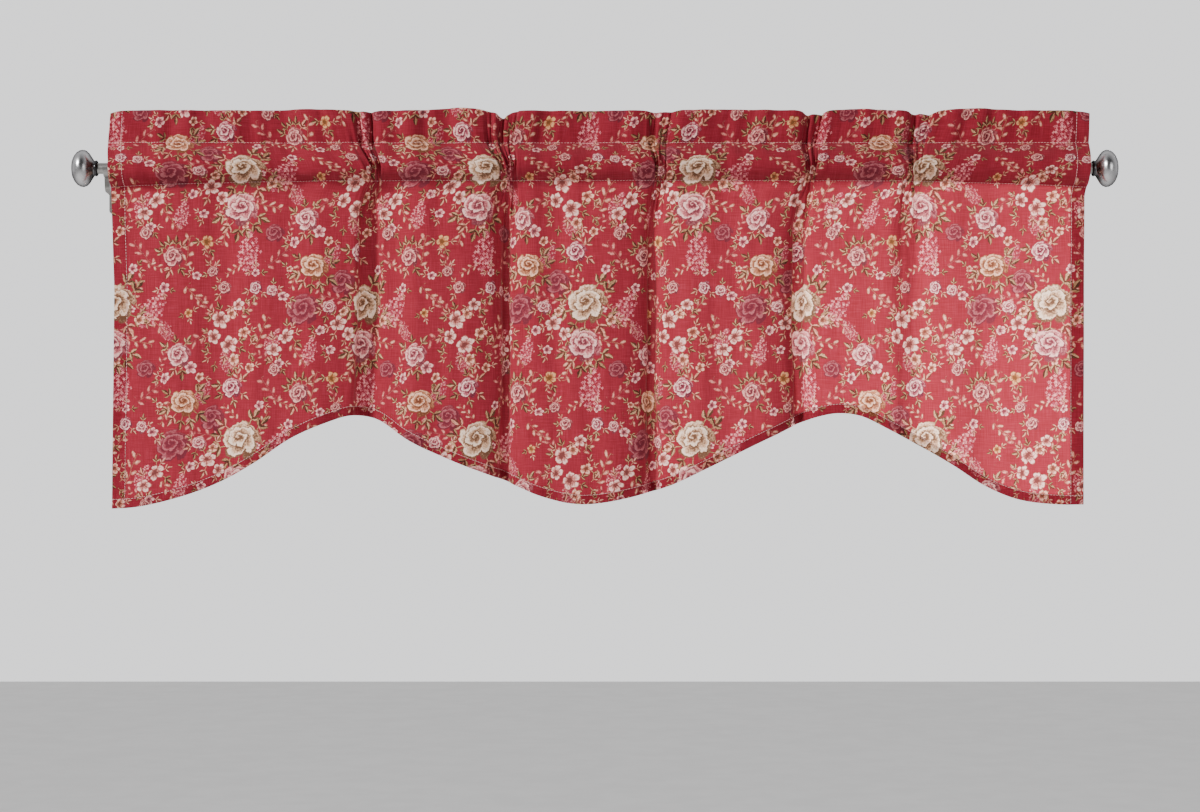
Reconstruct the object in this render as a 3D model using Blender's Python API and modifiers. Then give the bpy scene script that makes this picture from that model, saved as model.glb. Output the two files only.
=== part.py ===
"""A window valance with a scalloped lower edge, gathered on a curtain rod.

Frame: +Z up, +X to the right seen from the room, +Y towards the wall. The origin is the centre of
the left bracket's wall plate, on the face that meets the wall, so the wall is the plane Y = 0.
All lengths are in metres. Heights in the cloth's tables are measured from the rod's axis.
"""

import math

import bmesh
import bpy
import numpy as np

# Rod, finials and brackets
ROD_RADIUS = 0.0065
ROD_OUT = 0.075  # wall to rod axis
ROD_UP = 0.018  # plate centre to rod axis
BRACKET_SPAN = 1.146  # bracket to bracket, centre to centre
COLLAR_OUT = 0.0108  # bracket centre to the finial's collar
SOCKET_DEPTH = 0.0085  # how far the rod's end goes into a finial
FIT_GAP = 0.0003  # between pieces that touch
ROD_SIDES = 40
FINIAL_STEPS = 40
SHARPEST_ROUND = 35  # degrees between faces that are still shaded as one round surface
MERGE_DISTANCE = 0.00001  # points nearer than this are one

BRACKET_WIDTH = 0.006
CRADLE_WALL = 0.0038
CRADLE_STEPS = 14
# The arm's outline behind and below the cradle: from the rod's axis towards the wall, and up
ARM_TOP = ((0.0069, 0.0050), (0.0107, 0.0050), (0.0118, -0.0030), (0.0150, -0.0085), (0.0220, -0.0120))
ARM_FOOT = ((0.0450, -0.0300), (0.0080, -0.0270), (0.0042, -0.0256), (0.0022, -0.0220), (0.0012, -0.0170))
ARM_TOP_AT_WALL = -0.0120
ARM_FOOT_AT_WALL = -0.0330
LIP_TOP = 0.0010
PLATE_WIDTH = 0.022
PLATE_HEIGHT = 0.060
PLATE_THICKNESS = 0.003
PLATE_CORNER = 0.004
PLATE_CORNER_STEPS = 4
SCREW_HOLE_RADIUS = 0.0023
SCREW_HOLE_RISE = 0.021  # plate centre to a screw hole's centre
SCREW_HOLE_SIDES = 20
SCREW_HOLE_CUT = 0.012  # length of the cutter that makes a screw hole

# Colours, linear
CLOTH_COLOUR = (0.392, 0.017, 0.036)
ROD_COLOUR = (0.52, 0.52, 0.53)
FINIAL_COLOUR = (0.48, 0.47, 0.47)
BRACKET_COLOUR = (0.50, 0.50, 0.51)

# A finial's outline from the rod's side to the tip: distance from the collar, radius
FINIAL_OUTLINE = (
    (0.0000, 0.0084),
    (0.0010, 0.0093),
    (0.0022, 0.0093),
    (0.0032, 0.0084),
    (0.0046, 0.0098),
    (0.0070, 0.0134),
    (0.0100, 0.0180),
    (0.0130, 0.0208),
    (0.0165, 0.0219),
    (0.0200, 0.0214),
    (0.0235, 0.0194),
    (0.0265, 0.0160),
    (0.0288, 0.0113),
    (0.0300, 0.0060),
    (0.0304, 0.0000),
)

# Cloth
FLAT_WIDTH = 1.320
CLOTH_THICKNESS = 0.0012
HEM_THICKNESS = 0.0020
HEM_DEPTH = 0.011  # lower edge to its row of stitches
SIDE_HEM = 0.017  # side edge to its row of stitches
LAYER_OFFSET = 0.0011  # from between the two layers of the heading to the middle of each
SEAM_OFFSET = 0.0024  # from the panel to the pocket's back layer at its seam, middle to middle
HEADER_TOP = 0.0665
HEADER_STITCH = 0.0300
POCKET_SEAM = -0.0140  # at the middle of the width
POCKET_SEAM_END_SAG = 0.0083  # how much lower the seam is at the two ends
POCKET_SEAM_POWER = 5  # of the distance from the middle, by which the seam sags
POCKET_SLACK = 0.0011  # least distance from the rod to the middle of the cloth
POCKET_BILLOW = 0.0035  # how far the pocket's front stands off the rod at its deepest gathers
BACK_LAYER_TUCK = 0.012  # how far the pocket's back layer stays short of the right end
TUCK_REACH = 0.045  # the stretch of flat width that takes up the tuck
BACK_LAYER_FOLLOW = 0.25  # how much the pocket's back follows the gathers
END_DEPTH = -0.003  # depth of the cloth's two side edges, towards the wall from the rod's axis
DIP_REACH = 0.011  # half-width of a dip in the heading's top edge
CORNER_DROOP = 0.0035
CORNER_REACH = 0.012
FOLD_RADIUS = 0.0014  # of the fold along the heading's top
FOLD_ANGLES = (0, 60, 120, 180)
LAP_RETURN = 6.0  # half-widths over which a lapped fold turns back
EDGE_HEIGHT = -0.30  # where the lower edge's places across are taken from

# The mesh's columns: their spacing where the cloth is flat, the least spacing, spacing and reach of
# the close columns at a fold as shares of its half_width
WIDEST_COLUMN = 0.0240
NARROWEST_COLUMN = 0.0036
COLUMN_SHARE = 0.53
COLUMN_REACH = 1.6
COLUMN_POWER = 4  # how steeply the close columns end
PLAN_STEP = 0.001  # along the flat width, where the plan line is summed

# Heights at which a fold's share of its angle is given in the tables below
FOLD_HEIGHTS = (0.066, 0.030, 0.000, -0.018, -0.080, -0.180, -0.400)

# Tight gathers on the rod. place: along the flat width, half_width: of the pucker, pinch: steepest
# angle of its sides in degrees, dip: how much the heading's top sinks there
GATHERS = (
    dict(place=0.3227, half_width=0.0060, pinch=74, dip=0.0010),
    dict(place=0.3437, half_width=0.0060, pinch=76, dip=0.0018),
    dict(place=0.5057, half_width=0.0060, pinch=76, dip=0.0020),
    dict(place=0.5267, half_width=0.0062, pinch=80, dip=0.0068),
    dict(place=0.5473, half_width=0.0056, pinch=66, dip=0.0008),
    dict(place=0.7326, half_width=0.0062, pinch=74, dip=0.0022),
    dict(place=0.7536, half_width=0.0058, pinch=62, dip=0.0018),
    dict(place=0.9388, half_width=0.0060, pinch=74, dip=0.0030),
    dict(place=0.9598, half_width=0.0060, pinch=76, dip=0.0038),
    dict(place=1.0897, half_width=0.0060, pinch=72, dip=0.0030),
    dict(place=1.1107, half_width=0.0058, pinch=64, dip=0.0032),
)
GATHER_SHARES = (0.62, 0.84, 1.00, 0.90, 0.30, 0.08, 0.00)

# Soft folds. place and half_width as above, pinch: a valley when positive, turn: one side laps in
# front of the other, shares: of the angle at each of FOLD_HEIGHTS
SOFT_FOLDS = (
    dict(place=0.1350, half_width=0.0240, pinch=13, turn=0, shares=(0.6, 0.6, 0.5, 0.6, 1.0, 1.0, 0.6)),
    dict(place=0.2133, half_width=0.0220, pinch=10, turn=0, shares=(0.7, 0.5, 0.4, 0.6, 1.0, 0.9, 0.9)),
    dict(place=0.3090, half_width=0.0075, pinch=0, turn=96, shares=(0.0, 0.0, 0.0, 0.45, 1.0, 0.75, 0.3)),
    dict(place=0.3245, half_width=0.0360, pinch=22, turn=0, shares=(0.1, 0.1, 0.1, 0.2, 0.8, 1.0, 1.0)),
    dict(place=0.3368, half_width=0.0120, pinch=36, turn=0, shares=(0.1, 0.0, 0.0, 0.3, 1.0, 1.0, 0.9)),
    dict(place=0.3717, half_width=0.0130, pinch=34, turn=0, shares=(0.3, 0.3, 0.3, 0.5, 1.0, 0.7, 0.3)),
    dict(place=0.4376, half_width=0.0200, pinch=12, turn=0, shares=(0.9, 0.7, 0.5, 0.5, 0.6, 0.8, 1.0)),
    dict(place=0.5227, half_width=0.0340, pinch=19, turn=0, shares=(0.1, 0.1, 0.1, 0.2, 0.8, 1.0, 1.0)),
    dict(place=0.5250, half_width=0.0100, pinch=70, turn=24, shares=(0.1, 0.0, 0.0, 0.4, 1.0, 1.0, 0.9)),
    dict(place=0.6025, half_width=0.0150, pinch=24, turn=0, shares=(0.6, 0.5, 0.4, 0.6, 1.0, 0.7, 0.5)),
    dict(place=0.6489, half_width=0.0200, pinch=10, turn=0, shares=(0.8, 0.6, 0.4, 0.5, 0.7, 0.9, 1.0)),
    dict(place=0.7335, half_width=0.0340, pinch=20, turn=0, shares=(0.1, 0.1, 0.1, 0.2, 0.8, 1.0, 1.0)),
    dict(place=0.7351, half_width=0.0100, pinch=68, turn=24, shares=(0.1, 0.0, 0.0, 0.4, 1.0, 1.0, 0.8)),
    dict(place=0.8430, half_width=0.0240, pinch=10, turn=0, shares=(0.9, 0.6, 0.4, 0.5, 0.7, 1.0, 1.0)),
    dict(place=0.9478, half_width=0.0360, pinch=22, turn=0, shares=(0.1, 0.1, 0.1, 0.2, 0.8, 1.0, 1.0)),
    dict(place=0.9461, half_width=0.0100, pinch=70, turn=26, shares=(0.1, 0.0, 0.0, 0.4, 1.0, 1.0, 0.7)),
    dict(place=1.0222, half_width=0.0240, pinch=10, turn=0, shares=(0.9, 0.6, 0.4, 0.5, 0.7, 0.9, 0.9)),
    dict(place=1.1113, half_width=0.0150, pinch=32, turn=0, shares=(0.1, 0.0, 0.0, 0.4, 1.0, 0.8, 0.6)),
    dict(place=1.2058, half_width=0.0250, pinch=12, turn=0, shares=(0.9, 0.8, 0.6, 0.7, 0.8, 1.0, 0.8)),
)

# The two side edges. height, left: world X of the left edge, right: of the right edge
SIDE_EDGES = (
    dict(height=0.0665, left=0.0052, right=1.1530),
    dict(height=0.0300, left=0.0022, right=1.1520),
    dict(height=0.0080, left=0.0056, right=1.1512),
    dict(height=-0.0200, left=0.0056, right=1.1500),
    dict(height=-0.0320, left=0.0060, right=1.1472),
    dict(height=-0.1420, left=0.0095, right=1.1465),
    dict(height=-0.4000, left=0.0067, right=1.1460),
)

# The lower edge. across: from the left edge as it hangs, drop: below the rod's axis
LOWER_EDGE = (
    dict(across=0.000, drop=0.3990),
    dict(across=0.020, drop=0.3980),
    dict(across=0.065, drop=0.3892),
    dict(across=0.119, drop=0.3705),
    dict(across=0.169, drop=0.3430),
    dict(across=0.202, drop=0.3200),
    dict(across=0.245, drop=0.3000),
    dict(across=0.281, drop=0.2897),
    dict(across=0.312, drop=0.2960),
    dict(across=0.342, drop=0.3160),
    dict(across=0.394, drop=0.3410),
    dict(across=0.461, drop=0.3670),
    dict(across=0.499, drop=0.3832),
    dict(across=0.547, drop=0.3940),
    dict(across=0.596, drop=0.3890),
    dict(across=0.652, drop=0.3728),
    dict(across=0.697, drop=0.3518),
    dict(across=0.772, drop=0.3154),
    dict(across=0.829, drop=0.2910),
    dict(across=0.848, drop=0.2873),
    dict(across=0.875, drop=0.2897),
    dict(across=0.912, drop=0.3070),
    dict(across=0.982, drop=0.3458),
    dict(across=1.027, drop=0.3740),
    dict(across=1.054, drop=0.3857),
    dict(across=1.108, drop=0.3940),
    dict(across=1.148, drop=0.3940),
)

# The pocket from the header's stitches down to its lower seam. way: share of the height, wall: share
# of the layer's distance from the middle
POCKET_FRONT = (
    dict(way=0.00, wall=0.00),
    dict(way=0.18, wall=0.50),
    dict(way=0.38, wall=0.88),
    dict(way=0.56, wall=1.00),
    dict(way=0.72, wall=1.00),
    dict(way=0.87, wall=0.78),
    dict(way=1.00, wall=0.00),
)
POCKET_BACK = (
    dict(way=0.00, wall=0.00),
    dict(way=0.42, wall=0.85),
    dict(way=0.62, wall=1.00),
    dict(way=0.82, wall=0.90),
    dict(way=1.00, wall=0.00),
)
# Shares of the panel's height, from the pocket's seam down to the lower hem's stitches
PANEL_ROWS = (0.06, 0.17, 0.32, 0.50, 0.68, 0.85, 1.00)
HEM_ROWS = 2  # rows of the mesh in the lower hem


def column(table, name):
    """One named column of a table as an array."""
    return np.array([row[name] for row in table])


def smooth_line(x, knots_x, knots_y):
    """A curve through the knots: cubic pieces whose slope at a knot is that of its two neighbours."""
    slopes = np.gradient(knots_y, knots_x)
    i = np.clip(np.searchsorted(knots_x, x) - 1, 0, len(knots_x) - 2)
    step = knots_x[i + 1] - knots_x[i]
    t = np.clip((x - knots_x[i]) / step, 0.0, 1.0)
    rise = knots_y[i + 1] - knots_y[i]
    start = slopes[i] * step
    end = slopes[i + 1] * step
    bend = 3.0 * rise - 2.0 * start - end
    twist = start + end - 2.0 * rise
    return knots_y[i] + t * (start + t * (bend + t * twist))


def share_at(height, shares):
    """A fold's share of its angle at these heights."""
    return np.interp(-height, [-h for h in FOLD_HEIGHTS], shares)


def heading_angle(along, height):
    """Angle from +X of the cloth's line seen from above, positive towards the wall.

    t is the distance from a fold in half-widths. A pinch turns by -t exp((1 - t^2) / 2), which is
    steepest at t = 1; a lap turns by exp(-t^2) and slowly back, so that the line ends where it began."""
    angle = np.zeros_like(along)
    for fold in GATHERS:
        t = (along - fold["place"]) / fold["half_width"]
        pinch = -t * np.exp(0.5 - 0.5 * t**2)
        angle += math.radians(fold["pinch"]) * pinch * share_at(height, GATHER_SHARES)
    for fold in SOFT_FOLDS:
        t = (along - fold["place"]) / fold["half_width"]
        pinch = -t * np.exp(0.5 - 0.5 * t**2)
        turn = np.exp(-(t**2)) - np.exp(-((t / LAP_RETURN) ** 2)) / LAP_RETURN
        bend = math.radians(fold["pinch"]) * pinch + math.radians(fold["turn"]) * turn
        angle += bend * share_at(height, fold["shares"])
    return angle


def plan_line(along, height):
    """The cloth's line seen from above at these heights: world X, depth towards the wall, angle.

    The line keeps its length: X and depth are the running sums of the cosine and sine of its angle.
    X is then set between the side edges, and the depth of both ends at END_DEPTH."""
    fine = np.linspace(0.0, FLAT_WIDTH, round(FLAT_WIDTH / PLAN_STEP) + 1)
    fine_height = np.interp(fine, along, height)
    angle = heading_angle(fine, fine_height)
    steps = np.full_like(fine, fine[1] - fine[0])
    steps[0] = 0.0
    x = np.cumsum(np.cos(angle) * steps)
    depth = np.cumsum(np.sin(angle) * steps)
    depth += END_DEPTH - np.interp(fine, [0.0, FLAT_WIDTH], [depth[0], depth[-1]])
    edge_heights = -column(SIDE_EDGES, "height")
    left = np.interp(-fine_height, edge_heights, column(SIDE_EDGES, "left"))
    right = np.interp(-fine_height, edge_heights, column(SIDE_EDGES, "right"))
    x = left + (right - left) * x / x[-1]
    return [np.interp(along, fine, line) for line in (x, depth, angle)]


def column_places():
    """Places of the mesh's columns along the flat width, close together where the folds are tight."""
    fine = np.linspace(0.0, FLAT_WIDTH, 2 * round(FLAT_WIDTH / PLAN_STEP) + 1)
    density = np.full_like(fine, 1.0 / WIDEST_COLUMN)
    for fold in (*GATHERS, *SOFT_FOLDS):
        tightest = max(NARROWEST_COLUMN, COLUMN_SHARE * fold["half_width"])
        reach = COLUMN_REACH * fold["half_width"]
        bump = np.exp(-(((fine - fold["place"]) / reach) ** COLUMN_POWER)) / tightest
        density = np.maximum(density, bump)
    count = np.cumsum(density) * (fine[1] - fine[0])
    inner = np.linspace(count[0], count[-1], int(count[-1]) + 1)
    places = np.interp(inner, count, fine)
    places[1] = SIDE_HEM
    places[-2] = FLAT_WIDTH - SIDE_HEM
    places[0] = 0.0
    places[-1] = FLAT_WIDTH
    return places


def header_top(along):
    """Height of the heading's top edge: it sinks at each gather and at the two corners."""
    top = np.full_like(along, HEADER_TOP)
    for fold in GATHERS:
        top -= fold["dip"] * np.exp(-(((along - fold["place"]) / DIP_REACH) ** 2))
    corners = np.exp(-along / CORNER_REACH) + np.exp((along - FLAT_WIDTH) / CORNER_REACH)
    return top - CORNER_DROOP * corners


def seam_height(along):
    """Height of the pocket's lower seam, which sags towards the two ends."""
    from_middle = np.abs(2.0 * along / FLAT_WIDTH - 1.0)
    return POCKET_SEAM - POCKET_SEAM_END_SAG * from_middle**POCKET_SEAM_POWER


def lower_edge(along):
    """Height of the lower edge, from its outline as it hangs."""
    x = plan_line(along, np.full_like(along, EDGE_HEIGHT))[0]
    across = x - x[0]
    return -smooth_line(across, column(LOWER_EDGE, "across"), column(LOWER_EDGE, "drop"))


def cloth_row(along, height, layer=0.0):
    """World points of one row: the plan line at these heights, moved by layer across itself."""
    x, depth, angle = plan_line(along, height)
    x = x - layer * np.sin(angle)
    depth = depth + layer * np.cos(angle)
    return np.stack([x, depth - ROD_OUT, height + ROD_UP], axis=1)


def pocket_row(along, way, wall_share, side):
    """World points of one row of the pocket. side is -1 for its front layer and +1 for its back.

    The row lies between the line from the stitches to the seam and a wall that keeps clear of the rod:
    the front wall also follows the gathers, the back one only a little."""
    stitch = np.full_like(along, HEADER_STITCH)
    seam = seam_height(along)
    height = stitch + (seam - stitch) * way
    x, depth, angle = plan_line(along, height)
    seam_layer = SEAM_OFFSET if side > 0 else 0.0
    layer = side * LAYER_OFFSET * (1.0 - way) + seam_layer * way
    clear = ROD_RADIUS + POCKET_SLACK
    rod_depth = plan_line(along, np.zeros_like(along))[1]
    if side < 0:
        wall = -clear - POCKET_BILLOW - (rod_depth.max() - rod_depth)
    else:
        wall = clear + BACK_LAYER_FOLLOW * (rod_depth - rod_depth.min())
    wall_depth = wall * wall_share + (depth + layer * np.cos(angle)) * (1.0 - wall_share)
    x = x - layer * np.sin(angle) * (1.0 - wall_share)
    if side > 0:
        into_right_end = np.clip((along - (FLAT_WIDTH - TUCK_REACH)) / TUCK_REACH, 0.0, 1.0)
        tucked = min(1.0, way / POCKET_BACK[1]["way"])
        x = x - BACK_LAYER_TUCK * into_right_end**2 * tucked
    return np.stack([x, wall_depth - ROD_OUT, height + ROD_UP], axis=1)


def cloth_rows(along):
    """All rows of the cloth, from the lower edge up the front, over the heading and down its back.

    Also returns how many of them belong to the panel."""
    edge = lower_edge(along)
    stitches = edge + HEM_DEPTH
    seam = seam_height(along)
    rows = [cloth_row(along, edge)]
    for share in reversed(PANEL_ROWS):
        rows.append(cloth_row(along, seam + (stitches - seam) * share))
    panel_rows = len(rows)
    for knot in reversed(POCKET_FRONT):
        rows.append(pocket_row(along, knot["way"], knot["wall"], -1))
    top = header_top(along) - FOLD_RADIUS
    for degrees in FOLD_ANGLES:
        turn = math.radians(degrees)
        rise = FOLD_RADIUS * math.sin(turn)
        rows.append(cloth_row(along, top + rise, layer=-FOLD_RADIUS * math.cos(turn)))
    for knot in POCKET_BACK:
        rows.append(pocket_row(along, knot["way"], knot["wall"], 1))
    return rows, panel_rows


def add_material(name, colour, roughness, metallic):
    """A Principled material with a plain colour."""
    material = bpy.data.materials.new(name)
    material.use_nodes = True
    shader = material.node_tree.nodes["Principled BSDF"]
    shader.inputs["Base Color"].default_value = (*colour, 1.0)
    shader.inputs["Roughness"].default_value = roughness
    shader.inputs["Metallic"].default_value = metallic
    material.diffuse_color = (*colour, 1.0)
    return material


def add_object(name, mesh, collection, material=None):
    """An object for this mesh, in this collection."""
    piece = bpy.data.objects.new(name, mesh)
    collection.objects.link(piece)
    if material is not None:
        mesh.materials.append(material)
    return piece


def shade_round(mesh):
    """Smooth shading with sharp edges kept."""
    mesh.shade_smooth()
    mesh.set_sharp_from_angle(angle=math.radians(SHARPEST_ROUND))


def make_valance(collection, material):
    """The cloth: one sheet on a grid, bent over the rod, with a thicker hem and side hems."""
    along = column_places()
    rows, panel_rows = cloth_rows(along)
    columns = len(along)
    form = bmesh.new()
    bmesh.ops.create_grid(form, x_segments=columns - 1, y_segments=len(rows) - 1, size=1.0)
    mesh = bpy.data.meshes.new("valance")
    form.to_mesh(mesh)
    form.free()
    points = np.concatenate(rows)
    mesh.vertices.foreach_set("co", points.astype(np.float32).ravel())
    mesh.update()
    piece = add_object("valance", mesh, collection, material)

    hems = piece.vertex_groups.new(name="hems")
    for row in range(panel_rows):
        for place in range(columns):
            at_side = along[place] <= SIDE_HEM or along[place] >= FLAT_WIDTH - SIDE_HEM
            if row < HEM_ROWS or at_side:
                hems.add([row * columns + place], 1.0, "REPLACE")

    sheet = piece.modifiers.new("sheet", "SOLIDIFY")
    sheet.thickness = HEM_THICKNESS
    sheet.offset = 0.0
    sheet.use_even_offset = True
    sheet.vertex_group = "hems"
    sheet.thickness_vertex_group = CLOTH_THICKNESS / HEM_THICKNESS
    mesh.shade_smooth()
    return piece


def make_rod(collection, material):
    """The rod: a round bar from inside one finial's socket to inside the other's."""
    start = -COLLAR_OUT - SOCKET_DEPTH + FIT_GAP
    end = BRACKET_SPAN + COLLAR_OUT + SOCKET_DEPTH - FIT_GAP
    form = bmesh.new()
    bmesh.ops.create_cone(
        form,
        cap_ends=True,
        segments=ROD_SIDES,
        radius1=ROD_RADIUS,
        radius2=ROD_RADIUS,
        depth=end - start,
    )
    mesh = bpy.data.meshes.new("rod")
    form.to_mesh(mesh)
    form.free()
    shade_round(mesh)
    piece = add_object("rod", mesh, collection, material)
    piece.location = (0.5 * (start + end), -ROD_OUT, ROD_UP)
    piece.rotation_euler = (0.0, math.pi / 2, 0.0)
    return piece


def make_finial(name, side, collection, material):
    """A finial: a turned knob with a collar and a socket for the rod's end. side is -1 left, +1 right.

    The outline is turned about Z from the tip, on top, down to the collar and up into the socket."""
    bore = ROD_RADIUS + FIT_GAP
    points = [(radius, 0.0, out) for out, radius in reversed(FINIAL_OUTLINE)]
    points += [(bore, 0.0, 0.0), (bore, 0.0, SOCKET_DEPTH), (0.0, 0.0, SOCKET_DEPTH)]
    mesh = bpy.data.meshes.new(name)
    mesh.from_pydata(points, [(i, i + 1) for i in range(len(points) - 1)], [])
    piece = add_object(name, mesh, collection, material)
    turned = piece.modifiers.new("turned", "SCREW")
    turned.axis = "Z"
    turned.angle = 2.0 * math.pi
    turned.steps = FINIAL_STEPS
    turned.render_steps = FINIAL_STEPS
    turned.use_merge_vertices = True
    turned.merge_threshold = MERGE_DISTANCE
    turned.use_smooth_shade = True
    collar_x = -COLLAR_OUT if side < 0 else BRACKET_SPAN + COLLAR_OUT
    piece.location = (collar_x, -ROD_OUT, ROD_UP)
    piece.rotation_euler = (0.0, side * math.pi / 2, 0.0)
    return piece


def arm_outline():
    """The bracket's arm seen from the side, as points from the rod's axis: towards the wall, and up.

    An open cradle round the rod's underside with a lip in front, on an arm that runs to the wall."""
    inner = ROD_RADIUS + FIT_GAP
    outer = inner + CRADLE_WALL
    inside = [math.pi * (1.0 + i / CRADLE_STEPS) for i in range(CRADLE_STEPS + 1)]
    outside = [math.pi * (1.5 - 0.5 * i / (CRADLE_STEPS // 2)) for i in range(CRADLE_STEPS // 2 + 1)]
    wall = ROD_OUT - 0.5 * PLATE_THICKNESS
    points = [(-inner, LIP_TOP)]
    points += [(inner * math.cos(a), inner * math.sin(a)) for a in inside]
    points += list(ARM_TOP)
    points += [(wall, ARM_TOP_AT_WALL), (wall, ARM_FOOT_AT_WALL)]
    points += list(ARM_FOOT)
    points += [(outer * math.cos(a), outer * math.sin(a)) for a in outside]
    points += [(-outer, LIP_TOP)]
    return points


def mesh_from_curve(curve_object):
    """A closed mesh from a curve object, which is removed."""
    depsgraph = bpy.context.evaluated_depsgraph_get()
    mesh = bpy.data.meshes.new_from_object(curve_object.evaluated_get(depsgraph))
    mesh.transform(curve_object.matrix_world)
    form = bmesh.new()
    form.from_mesh(mesh)
    bmesh.ops.remove_doubles(form, verts=form.verts, dist=MERGE_DISTANCE)
    bmesh.ops.recalc_face_normals(form, faces=form.faces)
    form.to_mesh(mesh)
    form.free()
    bpy.data.objects.remove(curve_object)
    return mesh


def make_arm_mesh(x, name, collection):
    """The arm of one bracket: its outline as a flat shape, as thick as the bracket is wide."""
    curve = bpy.data.curves.new(name + "_outline", "CURVE")
    curve.dimensions = "2D"
    curve.fill_mode = "BOTH"
    curve.extrude = 0.5 * BRACKET_WIDTH
    outline = arm_outline()
    spline = curve.splines.new("POLY")
    spline.points.add(len(outline) - 1)
    for point, (out, up) in zip(spline.points, outline):
        point.co = (out, up, 0.0, 1.0)
    spline.use_cyclic_u = True
    guide = add_object(name + "_outline", curve, collection)
    guide.location = (x, -ROD_OUT, ROD_UP)
    guide.rotation_euler = (math.pi / 2, 0.0, math.pi / 2)
    bpy.context.view_layer.update()
    return mesh_from_curve(guide)


def add_cutter(name, mesh, cutters):
    """An object that only shapes another: drawn as wires and not rendered."""
    cutter = add_object(name, mesh, cutters)
    cutter.display_type = "WIRE"
    cutter.hide_render = True
    return cutter


def add_boolean(piece, cutter, operation):
    """Joins or cuts a piece with a cutter."""
    change = piece.modifiers.new(operation.lower(), "BOOLEAN")
    change.operation = operation
    change.object = cutter
    change.solver = "EXACT"


def make_bracket(name, x, collection, cutters, material):
    """A bracket: a wall plate with two screw holes, and the arm that carries the rod."""
    form = bmesh.new()
    bmesh.ops.create_cube(form, size=1.0)
    size = (PLATE_WIDTH, PLATE_THICKNESS, PLATE_HEIGHT)
    bmesh.ops.scale(form, vec=size, verts=form.verts)
    bmesh.ops.translate(form, vec=(x, -0.5 * PLATE_THICKNESS, 0.0), verts=form.verts)
    upright = [e for e in form.edges if abs(e.verts[0].co.y - e.verts[1].co.y) > 0.5 * PLATE_THICKNESS]
    bmesh.ops.bevel(
        form,
        geom=upright,
        offset=PLATE_CORNER,
        segments=PLATE_CORNER_STEPS,
        affect="EDGES",
        profile=0.5,
    )
    mesh = bpy.data.meshes.new(name)
    form.to_mesh(mesh)
    form.free()
    piece = add_object(name, mesh, collection, material)

    arm = add_cutter(name + "_arm", make_arm_mesh(x, name, cutters), cutters)
    add_boolean(piece, arm, "UNION")
    for side in (-1, 1):
        form = bmesh.new()
        bmesh.ops.create_cone(
            form,
            cap_ends=True,
            segments=SCREW_HOLE_SIDES,
            radius1=SCREW_HOLE_RADIUS,
            radius2=SCREW_HOLE_RADIUS,
            depth=SCREW_HOLE_CUT,
        )
        hole_mesh = bpy.data.meshes.new(name + "_screw_hole")
        form.to_mesh(hole_mesh)
        form.free()
        hole = add_cutter(name + "_screw_hole", hole_mesh, cutters)
        hole.location = (x, -0.5 * PLATE_THICKNESS, side * SCREW_HOLE_RISE)
        hole.rotation_euler = (math.pi / 2, 0.0, 0.0)
        add_boolean(piece, hole, "DIFFERENCE")
    return piece


def main():
    """Builds the valance on its rod."""
    for old in list(bpy.data.objects):
        bpy.data.objects.remove(old)
    collection = bpy.data.collections.new("window_valance")
    cutters = bpy.data.collections.new("cutters")
    bpy.context.scene.collection.children.link(collection)
    bpy.context.scene.collection.children.link(cutters)

    cloth = add_material("printed_cotton", CLOTH_COLOUR, 0.85, 0.0)
    rod_steel = add_material("satin_nickel_rod", ROD_COLOUR, 0.35, 1.0)
    knob_metal = add_material("antique_silver_finial", FINIAL_COLOUR, 0.25, 1.0)
    bracket_steel = add_material("satin_nickel_bracket", BRACKET_COLOUR, 0.40, 1.0)

    make_valance(collection, cloth)
    make_rod(collection, rod_steel)
    make_finial("finial_left", -1, collection, knob_metal)
    make_finial("finial_right", 1, collection, knob_metal)
    make_bracket("bracket_left", 0.0, collection, cutters, bracket_steel)
    make_bracket("bracket_right", BRACKET_SPAN, collection, cutters, bracket_steel)


main()
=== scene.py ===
"""A printed window valance gathered on its curtain rod.

Frame: +Z up, +X to the right seen from the room, +Y towards the wall, in metres. The rod's axis runs
along X at Y = -ROD_OUT and Z = ROD_UP. Heights in the cloth's tables are measured from that axis.
"""

import math

import bmesh
import bpy
import mathutils
import numpy as np
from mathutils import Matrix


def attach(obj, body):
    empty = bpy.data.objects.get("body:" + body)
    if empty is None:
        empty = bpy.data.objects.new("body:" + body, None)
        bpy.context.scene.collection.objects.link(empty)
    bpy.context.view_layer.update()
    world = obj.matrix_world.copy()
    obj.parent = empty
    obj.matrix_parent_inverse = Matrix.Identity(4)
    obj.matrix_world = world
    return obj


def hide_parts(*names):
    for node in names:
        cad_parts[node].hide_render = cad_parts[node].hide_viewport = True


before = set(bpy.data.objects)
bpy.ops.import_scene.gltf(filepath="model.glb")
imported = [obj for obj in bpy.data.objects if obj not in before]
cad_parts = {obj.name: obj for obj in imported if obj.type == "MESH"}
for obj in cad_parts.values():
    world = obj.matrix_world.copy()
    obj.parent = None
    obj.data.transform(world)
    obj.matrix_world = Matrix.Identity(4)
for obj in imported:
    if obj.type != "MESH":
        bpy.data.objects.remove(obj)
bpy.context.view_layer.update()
seed = np.random.default_rng(7)

# ---------------------------------------------------------------- camera

LOOK_X = 0.579
LOOK_Z = -0.261
CLOTH_Y = -0.080
CAMERA_DISTANCE = 3.0  # from the cloth
VIEW_WIDTH = 1.4068  # what the frame takes in across, at the cloth
SENSOR = 36.0

camera_data = bpy.data.cameras.new("camera")
camera_data.sensor_width = SENSOR
camera_data.lens = SENSOR * CAMERA_DISTANCE / VIEW_WIDTH
camera = bpy.data.objects.new("camera", camera_data)
camera.location = (LOOK_X, CLOTH_Y - CAMERA_DISTANCE, LOOK_Z)
camera.rotation_euler = (math.pi / 2, 0.0, 0.0)
bpy.context.scene.collection.objects.link(camera)
bpy.context.scene.camera = camera

# ---------------------------------------------------------------- sizes


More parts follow.
